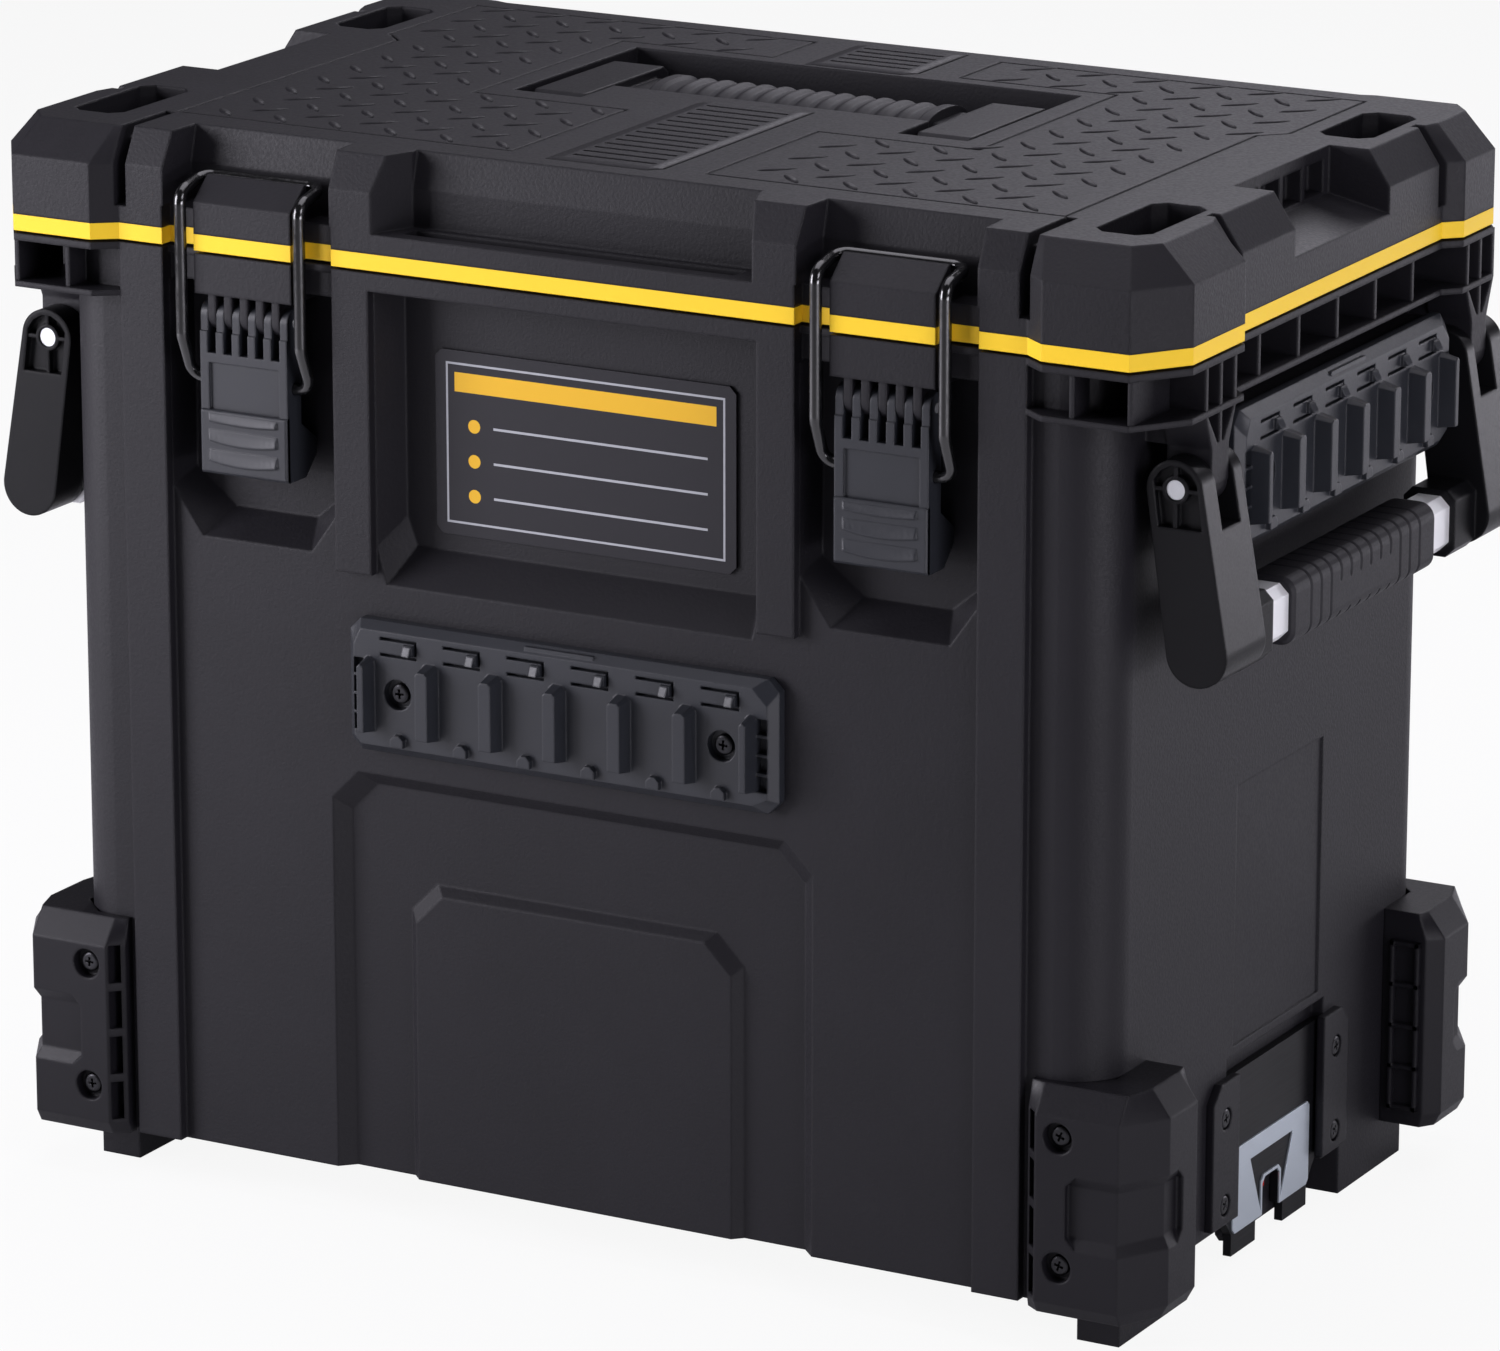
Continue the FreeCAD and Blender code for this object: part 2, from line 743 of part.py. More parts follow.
def body_shell() -> None:
    """Mould the body: walls, rim, posts, pockets, feet and hinge barrels."""
    shell = Piece("body_shell", half=True)
    shell.pad("Z", "foot_height", "rim_top", box("-side_wall_x", "side_wall_x", "panel_y", "rear_panel_y"))
    shell.round_edges("body_corner", upright)
    shell.pad("Z", "rim_top - rim_flange", "rim_top", band_outline())
    shell.keep_right()
    body_rim(shell)
    body_posts(shell)
    shell.pad(
        "X", "0", "rail_seat",
        box("side_middle - rail_half + 4", "side_middle + rail_half - 4",
            "side_rail_z - rail_height / 2 + 2", "side_rail_z + rail_height / 2 - 2"))
    body_hollow(shell)
    body_front(shell)
    body_locks(shell)
    feet = [
        box("side_wall_x - foot_width", "side_wall_x", start, f"{start} + foot_long")
        for start in ("front_y + foot_front_reach", "rear_y - foot_front_reach - foot_long")
    ]
    shell.pad("Z", "0", "foot_height + wall", *feet, twin=True)
    screw_places = [
        Ring("half_width - guard_screw_x", height, "screw_shank_round")
        for height in ("guard_screw_low", "guard_screw_high")
    ]
    rail_holes = [Ring("rail_half * rail_screw_share", "rail_z - rail_screw_sink", "screw_shank_round")]
    shell.cut("Y", "front_y", "panel_y + wall + 1", *screw_places, *rail_holes, twin=True)
    side_holes = [
        Ring(f"side_middle + {sign} * rail_half * rail_screw_share",
             "side_rail_z - rail_screw_sink", "screw_shank_round")
        for sign in (-1, 1)
    ]
    shell.cut_sides("rail_seat - wall - 1", "rail_seat + 1", *side_holes)
    shell.cut("Y", "rear_panel_y - wall - 1", "rear_y", *screw_places, twin=True)
    leaf = hinge_leaf("rear_panel_y - 1", "rim_top - rim_height", "rim_top - rim_flange")
    for start in ("hinge_place - hinge_half", "hinge_place + hinge_leaf + hinge_gap"):
        stop = f"{start} + hinge_half - hinge_leaf - hinge_gap"
        shell.pad_sides(start, stop, leaf)
        shell.pad_sides(start, stop, Ring("hinge_y", "hinge_z", "hinge_round"))
    shell.cut_sides(
        "hinge_place - hinge_half", "hinge_place + hinge_half",
        Ring("hinge_y", "hinge_z", "hinge_pin_round + running_gap"))
    shell.keep_right()
    shell.make_whole()


def body_rim(shell: Piece) -> None:
    """Add the lower rim flange and the ribs between the flanges."""
    lower = side_outline("0") + [("0", "rear_fascia_y"), ("0", "middle_y"), ("fin_out", "middle_y")]
    shell.pad("Z", "rim_top - rim_height", "rim_top - rim_height + rim_lower_flange", lower)
    ribs = []
    for step in range(-2, 3):
        place = f"side_middle + {step} * rim_rib_pitch"
        ribs.append(box("side_wall_x - wall", "half_width - side_set - rim_rib_set",
                        f"{place} - rim_rib_half", f"{place} + rim_rib_half"))
    edge = "(post_top_width / 2 - rim_rib_half)"
    for place in (f"post_y - {edge}", f"post_y + {edge}", f"rear_post_y - {edge}", f"rear_post_y + {edge}"):
        ribs.append(box("side_wall_x - wall", "half_width - post_set",
                        f"{place} - rim_rib_half", f"{place} + rim_rib_half"))
    for place in ("post_y", "rear_post_y"):
        ribs.append(box("side_wall_x - wall", "half_width - post_set",
                        f"{place} - rim_rib_half", f"{place} + rim_rib_half"))
    for place in ("half_width - rim_rib_far", "half_width - rim_rib_near"):
        ribs.append(box(f"{place} - rim_rib_half", f"{place} + rim_rib_half",
                        "front_y + rim_rib_set", "panel_y + body_corner"))
        ribs.append(box(f"{place} - rim_rib_half", f"{place} + rim_rib_half",
                        "rear_panel_y - body_corner", "rear_y - rim_rib_set"))
    shell.pad("Z", "rim_top - rim_height + 1", "rim_top - 1", *ribs, twin=True)


def body_posts(shell: Piece) -> None:
    """Hang the four handle posts from the rim."""
    for middle in ("post_y", "rear_post_y"):
        neck = [
            (f"{middle} - post_top_width / 2", "rim_top - rim_height + 1"),
            (f"{middle} - post_width / 2", "rim_top - post_neck_drop"),
            (f"{middle} - post_width / 2", "pin_z"),
            (f"{middle} + post_width / 2", "pin_z"),
            (f"{middle} + post_width / 2", "rim_top - post_neck_drop"),
            (f"{middle} + post_top_width / 2", "rim_top - rim_height + 1"),
        ]
        shell.pad_sides("half_width - post_set - post_depth", "half_width - post_set", neck)
        low = "rim_top - post_neck_drop + post_web"
        high = "rim_top - rim_height"
        windows = [
            [
                (f"{middle} + {sign} * post_web / 2", low),
                (f"{middle} + {sign} * (post_web * 1.5)", low),
                (f"{middle} + {sign} * (post_top_width / 2 - post_web)", high),
                (f"{middle} + {sign} * post_web / 2", high),
            ]
            for sign in (-1, 1)
        ]
        shell.cut_sides("half_width - post_set - post_window_deep", "half_width + 1", *windows)
        web = box(f"{middle} - post_width / 2", f"{middle} + post_width / 2",
                  "rim_top - post_neck_drop", "rim_top - rim_height + 1")
        shell.pad_sides("side_wall_x - wall", "half_width - post_depth", web)
        low = f"{middle} - post_width / 2"
        shell.pad("Y", low, f"{middle} + post_width / 2", Ring("pin_x", "pin_z", "post_round"), twin=True)
        shell.cut("Y", f"{low} - 1", f"{middle} + post_width / 2 + 1",
                  Ring("pin_x", "pin_z", "handle_pin_round + running_gap"), twin=True)


def body_hollow(shell: Piece) -> None:
    """Hollow the body out, with a shallower front wall behind the arch and the pockets."""
    inner_x = "side_wall_x - wall"
    corner = "body_corner * 0.6"
    hollow = both([
        (f"{inner_x} - {corner}", "pocket_y + wall"),
        (inner_x, f"pocket_y + wall + {corner}"),
        (inner_x, f"rear_panel_y - wall - {corner}"),
        (f"{inner_x} - {corner}", "rear_panel_y - wall"),
    ])
    shell.cut("Z", "foot_height + wall", "rim_top + 1", hollow)
    shell.cut("Y", "panel_y + wall", "pocket_y + wall + 1",
              box("0", "side_wall_x - body_corner",
                  "foot_height + wall", "rim_top - label_outer_drop - wall"))
    shell.pad("Y", "panel_y + 1", "panel_y + arch_depth + wall",
              box("0", "arch_half + wall", "foot_height", "arch_top + wall"))
    shell.cut("X", "0", "rail_seat - wall",
              box("side_middle - rail_half + 4 + wall", "side_middle + rail_half - 4 - wall",
                  "side_rail_z - rail_height / 2 + 2 + wall", "side_rail_z + rail_height / 2 - 2 - wall"))


def body_front(shell: Piece) -> None:
    """Shape the front: columns, label block, latch pockets, bosses and arches."""
    shell.pad("Y", "fascia_y", "panel_y + 1",
              box("fin_in", "fin_out", "foot_height", "rim_top"),
              box("label_recess_half", "block_half", "rim_top - block_drop", "rim_top"), twin=True)
    shell.pad("Y", "fascia_y", "panel_y + 1",
              box("0", "label_recess_half + 1", "rim_top - label_lip", "rim_top"))
    latch_pockets(shell)
    wide = "label_recess_half"
    narrow = "label_recess_half - 5"
    top = "rim_top - label_lip"
    outer = both([
        ("label_outer_half", "rim_top - label_outer_drop"),
        (wide, "rim_top - label_outer_drop + label_outer_shoulder"),
        (wide, top),
    ])
    inner = both([
        ("label_inner_half", "rim_top - label_inner_drop"),
        (narrow, "rim_top - label_inner_drop + label_inner_shoulder"),
        (narrow, top),
    ])
    shell.taper("Subtractive", "Y", "panel_y - 1", outer, "front_y + label_set", inner)
    arches(shell)
    latch_bosses(shell)


def arch(half: str, low: str, top: str, corner: str) -> list[Pair]:
    """Return an upright outline about the middle whose two upper corners are cut off."""
    return both([
        (half, low),
        (half, f"{top} - {corner}"),
        (f"{half} - {corner}", top),
    ])


def arches(shell: Piece) -> None:
    """Sink the wide arch panel and raise the narrow one in it."""
    below = "foot_height - 1"
    shell.taper("Subtractive", "Y", "panel_y", arch("arch_half", below, "arch_top", "arch_corner"),
                "panel_y + arch_depth",
                arch("arch_half - arch_depth", below, "arch_top - arch_depth", "arch_corner"))
    raised_top = "arch_top - inner_arch_drop"
    small = "inner_arch_raise"
    shell.taper("Additive", "Y", "panel_y + arch_depth",
                arch("inner_arch_half", "foot_height", raised_top, "arch_corner"),
                "panel_y + arch_depth - inner_arch_raise",
                arch(f"inner_arch_half - {small}", "foot_height", f"{raised_top} - {small}", "arch_corner"))


def latch_pockets(shell: Piece) -> None:
    """Sink the bevelled latch pocket."""
    outer = [
        ("block_half", "rim_top - pocket_lip"),
        ("block_half", "rim_top - pocket_outer_drop + pocket_shoulder"),
        ("latch_x - pocket_outer_half", "rim_top - pocket_outer_drop"),
        ("latch_x + pocket_outer_half", "rim_top - pocket_outer_drop"),
        ("fin_in", "rim_top - pocket_outer_drop + pocket_shoulder"),
        ("fin_in", "rim_top - pocket_lip"),
    ]
    inner = [
        ("block_half + 2", "rim_top - pocket_lip"),
        ("block_half + 2", "rim_top - pocket_inner_drop + pocket_shoulder - 5"),
        ("latch_x - pocket_inner_half", "rim_top - pocket_inner_drop"),
        ("latch_x + pocket_inner_half", "rim_top - pocket_inner_drop"),
        ("fin_in - 2", "rim_top - pocket_inner_drop + pocket_shoulder - 5"),
        ("fin_in - 2", "rim_top - pocket_lip"),
    ]
    shell.taper("Subtractive", "Y", "panel_y - 1", outer, "pocket_y", inner)
    shell.cut("Y", "panel_y - 1", "recess_y",
              box("block_half", "fin_in", "rim_top - pocket_lip - 1", "rim_top - rim_flange"), twin=True)


def latch_bosses(shell: Piece) -> None:
    """Add the latch bosses below the band with their comb of hinge knuckles."""
    left = "latch_x - boss_half"
    right = "latch_x + boss_half"
    shell.pad("Y", "boss_y", "pocket_y + 1",
              box(left, right, "rim_top - boss_drop", "rim_top"), twin=True)
    lobe = "(knuckle_pitch * 2 + knuckle_width / 2)"
    web = box("latch_axis_y - knuckle_round", "latch_axis_y + knuckle_round",
              "latch_axis_z", "rim_top - boss_drop + 1")
    shell.pad_sides(f"latch_x - {lobe}", f"latch_x + {lobe}", web)
    shell.pad_sides(f"latch_x - {lobe}", f"latch_x + {lobe}",
                    Ring("latch_axis_y", "latch_axis_z", "knuckle_round"))
    gaps = []
    for step in (-1.5, -0.5, 0.5, 1.5):
        middle = f"latch_x + {step} * knuckle_pitch"
        reach = "(knuckle_pitch - knuckle_width) / 2"
        gaps.append(box(f"{middle} - {reach}", f"{middle} + {reach}",
                        "latch_axis_z - knuckle_round - 1", "rim_top - boss_drop"))
    shell.cut("Y", "latch_axis_y - knuckle_round - 1", "latch_axis_y + knuckle_round + 1", *gaps, twin=True)
    shell.cut_sides(f"latch_x - {lobe}", f"latch_x + {lobe}",
                    Ring("latch_axis_y", "latch_axis_z", "latch_pin_round + running_gap"))


def body_locks(shell: Piece) -> None:
    """Sink the slider tracks of the stack locks into thickened side walls."""
    reach = "(lock_half + lock_wing + slider_gap)"
    thick = box(f"lock_y - {reach} - wall", f"lock_y + {reach} + wall", "foot_height", "lock_top + wall + 2")
    shell.pad_sides("lock_floor_x - wall", "side_wall_x - 1", thick)
    track = box(f"lock_y - {reach}", f"lock_y + {reach}", "foot_height - 1", "lock_top + 1")
    shell.cut_sides("lock_floor_x", "side_wall_x + 1", track)
    panel = box("lock_y - lock_half", "lock_y + lock_half", "lock_top + 5", "lock_panel_top")
    shell.cut_sides("side_wall_x - line_depth", "side_wall_x + 1", panel)
    holes = [
        Ring(f"lock_y + {sign} * lock_screw_half", height, "screw_shank_round")
        for sign in (-1, 1) for height in ("lock_screw_low", "lock_screw_high")
    ]
    shell.cut_sides("side_wall_x - wall - 1", "side_wall_x + 1", *holes)


def lid_shell() -> None:
    """Mould the lid: bevelled outside, hollow inside, finger trough, scoops and handle well."""
    lid = Piece("lid_shell", half=True)
    outline = both(side_outline("0"))
    lid.pad("Z", "band_high", "shoulder_z", outline)
    lid.taper("Additive", "Z", "shoulder_z", outline, "lid_top", lid_roof_outline())
    lid.cut("Z", "band_high - 1", "lid_top - lid_roof", lid_cavity())
    lid.keep_right()
    lid_front(lid)
    lid_sides(lid)
    lid_well(lid)
    lid_lines(lid)
    leaf = hinge_leaf("rear_fascia_y - wall", "band_high + hinge_leaf_tall", "band_high")
    low = "hinge_place - hinge_leaf"
    high = "hinge_place + hinge_leaf"
    lid.pad_sides(low, high, leaf)
    lid.pad_sides(low, high, Ring("hinge_y", "hinge_z", "hinge_round"))
    lid.cut_sides(low, high, Ring("hinge_y", "hinge_z", "hinge_pin_round + running_gap"))
    lid.keep_right()
    lid.make_whole()


def lid_front(lid: Piece) -> None:
    """Cut the finger trough and the latch bays, and raise the latch hooks."""
    beyond = "front_y - 5"
    over = "lid_top + 5"
    slanted = both([
        ("trough_half", beyond),
        ("trough_half", "fascia_y"),
        ("trough_half - trough_slant", "trough_y"),
    ])
    lid.cut("Z", "trough_z", over, slanted)
    lid.cut("Z", "trough_z - trough_slot", "trough_z + 1",
            box("-(trough_half - trough_slant - wall)", "trough_half - trough_slant - wall",
                "fascia_y + trough_lip", "trough_y - wall"))
    bay = [
        ("block_half", beyond),
        ("fin_in", beyond),
        ("fin_in - 2", "trough_y"),
        ("block_half + 2", "trough_y"),
    ]
    lid.cut("Z", "trough_z", over, bay, twin=True)
    lid.cut("Z", "band_high - 1", "trough_z + 1", box("block_half", "fin_in", beyond, "recess_y"), twin=True)
    lean = [
        ("trough_y - 1", "lid_top - trough_lean_height"),
        ("trough_y", "lid_top - trough_lean_height"),
        ("trough_y + trough_lean", "lid_top"),
        ("trough_y + trough_lean", over),
        ("trough_y - 1", over),
    ]
    lid.cut("X", "-(trough_half - trough_slant)", "trough_half - trough_slant", lean)
    lid.cut_sides("block_half + 2", "fin_in - 2", lean)
    hook = [
        ("recess_y + 1", "band_high"),
        ("boss_y", "band_high"),
        ("boss_y", "band_high + boss_front_height"),
        ("front_y + hook_back - 1.5", "band_high + hook_height"),
        ("front_y + hook_back", "band_high + hook_height"),
        ("front_y + hook_back", "band_high + shelf_height"),
        ("trough_y + 1", "band_high + shelf_height"),
        ("trough_y + 1", "trough_z - 1"),
        ("recess_y + 1", "trough_z - 1"),
    ]
    lid.pad_sides("latch_x - boss_half", "latch_x + boss_half", hook)


def lid_sides(lid: Piece) -> None:
    """Cut the side scoops, the bumper grooves and the bumper top pockets."""
    over = "lid_top + 5"
    scoop = [
        ("side_middle - scoop_half", "lid_top - scoop_floor"),
        ("side_middle + scoop_half", "lid_top - scoop_floor"),
        ("side_middle + scoop_half", over),
        ("side_middle - scoop_half", over),
    ]
    lid.cut_sides("half_width - scoop_depth", "half_width + 5", scoop)
    ramp = [
        ("half_width - scoop_depth - 1", "lid_top - scoop_floor - 1"),
        ("half_width - side_set", "lid_top - scoop_floor - 1"),
        ("half_width - side_set", "lid_top - scoop_floor"),
        ("half_width - scoop_depth - 1", "lid_top - scoop_floor + scoop_rise"),
    ]
    lid.pad("Y", "side_middle - scoop_half", "side_middle + scoop_half", ramp, twin=True)
    inner = "half_width - scoop_depth"
    cells = []
    for step in (-1.5, -0.5, 0.5, 1.5):
        middle = f"side_middle + {step} * scoop_cell_pitch"
        reach = "(scoop_cell_pitch - scoop_cell_web) / 2"
        cells.append(box(f"{middle} - {reach}", f"{middle} + {reach}",
                         "lid_top - scoop_floor + scoop_rise + 1", "lid_top - scoop_cell_drop"))
    lid.cut_sides(f"{inner} - scoop_cell_deep", f"{inner} + 1", *cells)
    groove = [
        ("front_y - 5", "lid_top - groove_bottom"),
        ("front_y + groove_depth", "lid_top - groove_bottom"),
        ("front_y + groove_depth", "lid_top - groove_step"),
        ("front_y + groove_run", "lid_top - groove_lip"),
        ("front_y + groove_run", over),
        ("front_y - 5", over),
    ]
    lid.cut_sides("fin_out - groove_width + groove_shift", "fin_out + groove_shift", groove)
    side_groove = [
        ("half_width + 5", "lid_top - groove_bottom"),
        ("half_width - groove_depth", "lid_top - groove_bottom"),
        ("half_width - groove_depth", "lid_top - groove_step"),
        ("half_width - side_groove_run", "lid_top - groove_lip"),
        ("half_width - side_groove_run", over),
        ("half_width + 5", over),
    ]
    front_place = "front_y + side_front_reach + side_set"
    rear_place = "rear_y - side_rear_reach - side_set"
    lid.cut("Y", f"{front_place} - 1", f"{front_place} + groove_width - 1", side_groove, twin=True)
    lid.cut("Y", f"{rear_place} - groove_width + 1", f"{rear_place} + 1", side_groove, twin=True)
    front_start = "front_y + pocket_front_gap"
    rear_stop = "rear_y - pocket_rear_gap"
    wells = [
        cut_corners("half_width - pocket_inset - pocket_width", "half_width - pocket_inset",
                    low, high, "pocket_corner")
        for low, high in ((front_start, f"{front_start} + pocket_front_long"),
                          (f"{rear_stop} - pocket_rear_long", rear_stop))
    ]
    lid.cut("Z", "lid_top - pocket_depth", over, *wells, twin=True)


def cut_corners(left: str, right: str, low: str, high: str, corner: str) -> list[Pair]:
    """Return a rectangle with its four corners cut off."""
    return [
        (f"{left} + {corner}", low),
        (f"{right} - {corner}", low),
        (right, f"{low} + {corner}"),
        (right, f"{high} - {corner}"),
        (f"{right} - {corner}", high),
        (f"{left} + {corner}", high),
        (left, f"{high} - {corner}"),
        (left, f"{low} + {corner}"),
    ]


def lid_well(lid: Piece) -> None:
    """Sink the well of the top handle, with pin holes through its side walls."""
    out = "top_arm_out + top_clear"
    front = "top_pivot_y - top_pocket_front"
    lid.pad("Z", "lid_top - top_pocket_deep - lid_roof", "lid_top - 1",
            box(f"-({out} + lid_roof * 2)", f"{out} + lid_roof * 2",
                f"{front} - lid_roof", "top_pocket_back + lid_roof"))
    well = both([
        ("top_arm_in - top_clear", "top_tongue"),
        ("top_arm_in - top_clear", front),
        (out, front),
        (out, "top_pocket_back"),
    ])
    lid.cut("Z", "lid_top - top_pocket_deep", "lid_top + 5", well)
    lid.cut("X", f"-({out} + lid_roof)", f"{out} + lid_roof",
            Ring("top_pivot_y", "top_pivot_z", "top_pin_round + running_gap"))


def lid_lines(lid: Piece) -> None:
    """Cut the border of the tread panel and half of the fine grilles before and behind the handle."""
    lid.cut("Z", "lid_top - line_depth", "lid_top + 1", tread_border("0"), tread_border("line_width"))
    half = "line_width / 2"
    slots = []
    for step in range(6):
        middle = f"({step} + 0.5) * grille_pitch"
        for start, stop in (("front_y + grille_start", "front_y + grille_start + grille_long"),
                            ("top_pocket_back + lid_roof * 2", "rear_y - line_rear_set")):
            slots.append(box(f"{middle} - {half}", f"{middle} + {half}", start, stop))
    lid.cut("Z", "lid_top - line_depth", "lid_top + 1", *slots)


def tread_border(inset: str) -> list[Pair]:
    """Return the outline of the right tread panel, which steps round the handle's well.

    Args:
        inset: how far the outline is drawn in.
    """
    inner = f"line_inner + {inset}"
    well = f"line_well + {inset}"
    outer = f"half_width - edge_line_set - {inset}"
    step = f"{outer} + line_step"
    front = f"front_y + groove_run + {inset}"
    ahead = f"middle_y - line_inner_end - {inset}"
    behind = f"top_pocket_back + lid_roof * 2 + {inset}"
    rear = f"rear_y - line_rear_set - {inset}"
    return [
        (inner, front),
        (outer, front),
        (outer, "middle_y + line_front_end"),
        (step, "middle_y + line_rear_start"),
        (step, rear),
        (inner, rear),
        (inner, behind),
        (well, behind),
        (well, ahead),
        (inner, ahead),
    ]


def band_and_seal() -> None:
    """Make the yellow band under the lid and the rubber seal under the band."""
    band = Piece("parting_band")
    band.pad("Z", "band_low", "band_high", band_outline(), lid_cavity())
    seal = Piece("lid_seal")
    reach = "(side_wall_x + seal_reach)"
    front = "recess_y + seal_front"
    rear = "rear_fascia_y - seal_rear"
    outer = box(f"-{reach}", reach, front, rear)
    inner = box(f"-({reach} - seal_width)", f"{reach} - seal_width",
                f"{front} + seal_width", f"{rear} - seal_width")
    seal.pad("Z", "rim_top + running_gap", "band_low", outer, inner)


def latch_lever() -> None:
    """Make the right toggle lever with its comb of fingers and mirror it to the left."""
    lever = Piece("latch_lever_right")
    front = "front_y + lever_front_set"
    low = "rim_top - lever_bottom_drop"
    plate = [
        (f"{front} + 1", low),
        (f"{front} + lever_heel", low),
        (f"{front} + lever_foot", f"{low} + lever_heel_rise"),
        (f"{front} + lever_foot", f"{low} + lever_foot_rise"),
        (f"{front} + lever_thick", f"{low} + lever_neck_rise"),
        (f"{front} + lever_thick", "rim_top - lever_top_drop"),
        (front, "rim_top - lever_top_drop"),
        (front, f"{low} + 1"),
    ]
    left = "latch_x - lever_half"
    right = "latch_x + lever_half"
    lever.pad("X", left, right, plate)
    lever.pad("X", left, right, box("latch_axis_y - knuckle_round", "latch_axis_y + knuckle_round",
                                    "rim_top - lever_top_drop - 1", "latch_axis_z"))
    lever.pad("X", left, right, Ring("latch_axis_y", "latch_axis_z", "knuckle_round"))
    slots = []
    for step in range(-2, 3):
        middle = f"latch_x + {step} * knuckle_pitch"
        reach = "(knuckle_width / 2 + comb_gap)"
        slots.append(box(f"{middle} - {reach}", f"{middle} + {reach}",
                         "rim_top - comb_drop", "latch_axis_z + knuckle_round + 1"))
    lever.cut("Y", f"{front} - 1", f"{front} + lever_foot + 1", *slots)
    near = f"{left} + lever_edge"
    far = f"{right} - lever_edge"
    lever.cut("Y", f"{front} - 1", f"{front} + lever_panel_deep",
              box(near, far, f"{low} + lever_panel_low", "rim_top - comb_drop - lever_edge"))
    for step in range(3):
        lever.pad("X", near, far, Ring(front, f"{low} + ridge_low + {step} * ridge_pitch", "ridge_round"))
    lever.cut("X", f"{left} - 1", f"{right} + 1",
              Ring("latch_axis_y", "latch_axis_z", "latch_pin_round + running_gap"))
    lever.cut("X", f"{left} - 1", f"{right} + 1",
              Ring("front_y + bail_pivot_set", "rim_top - bail_pivot_drop", "wire_round + running_gap"))
    mirrored("latch_lever_left", "latch_lever_right", SIDEWAYS)
    pin = Piece("latch_pin_right")
    pin.pad("X", left, right, Ring("latch_axis_y", "latch_axis_z", "latch_pin_round"))
    mirrored("latch_pin_left", "latch_pin_right", SIDEWAYS)


def bent_wire(points: list[Vector], bend: float, radius: float) -> Part.Shape:
    """Sweep a round wire along straight runs joined by round bends.

    Args:
        points: corners of the route, ends included.
        bend: radius of the wire's centre line in each bend.
        radius: radius of the wire.

    Returns:
        the swept solid.
    """
    edges = []
    start = points[0]
    for before, corner, after in zip(points, points[1:], points[2:]):
        back = (before - corner).normalize()
        ahead = (after - corner).normalize()
        half_angle = back.getAngle(ahead) / 2
        run = bend / math.tan(half_angle)
        first = corner + back * run
        last = corner + ahead * run
        bisector = (back + ahead).normalize()
        middle = corner + bisector * ((run ** 2 + bend ** 2) ** 0.5 - bend)
        edges.append(Part.makeLine(start, first))
        edges.append(Part.Arc(first, middle, last).toShape())
        start = last
    edges.append(Part.makeLine(start, points[-1]))
    route = Part.Wire(edges)
    profile = Part.Wire([Part.makeCircle(radius, points[0], points[1] - points[0])])
    return route.makePipeShell([profile], True, False)


def latch_bail() -> None:
    """Bend the right wire bail, from one lever side over the hook to the other side."""
    leg_y = value("front_y + bail_leg_set")
    bar_y = value("front_y + bail_bar_set")
    bar_z = value("band_high + shelf_height + wire_round + running_gap")
    pivot_y = value("front_y + bail_pivot_set")
    pivot_z = value("rim_top - bail_pivot_drop")
    middle = value("latch_x")
    reach = value("bail_half")
    tip = value("lever_half - bail_tip")
    knee_z = pivot_z + value("bail_knee")
    shoulder_z = bar_z - value("bail_shoulder")
    half = [
        Vector(middle + tip, pivot_y, pivot_z),
        Vector(middle + reach, pivot_y, pivot_z),
        Vector(middle + reach, leg_y, knee_z),
        Vector(middle + reach, leg_y, shoulder_z),
        Vector(middle + reach, bar_y, bar_z),
    ]
    other = [Vector(2 * middle - p.x, p.y, p.z) for p in reversed(half)]
    bail = doc.addObject("Part::Feature", "latch_bail_right")
    bail.Label = "latch_bail_right"
    bail.Shape = bent_wire(half + other, value("bail_bend"), value("wire_round"))
    nodes["latch_bail_right"] = bail
    mirrored("latch_bail_left", "latch_bail_right", SIDEWAYS)


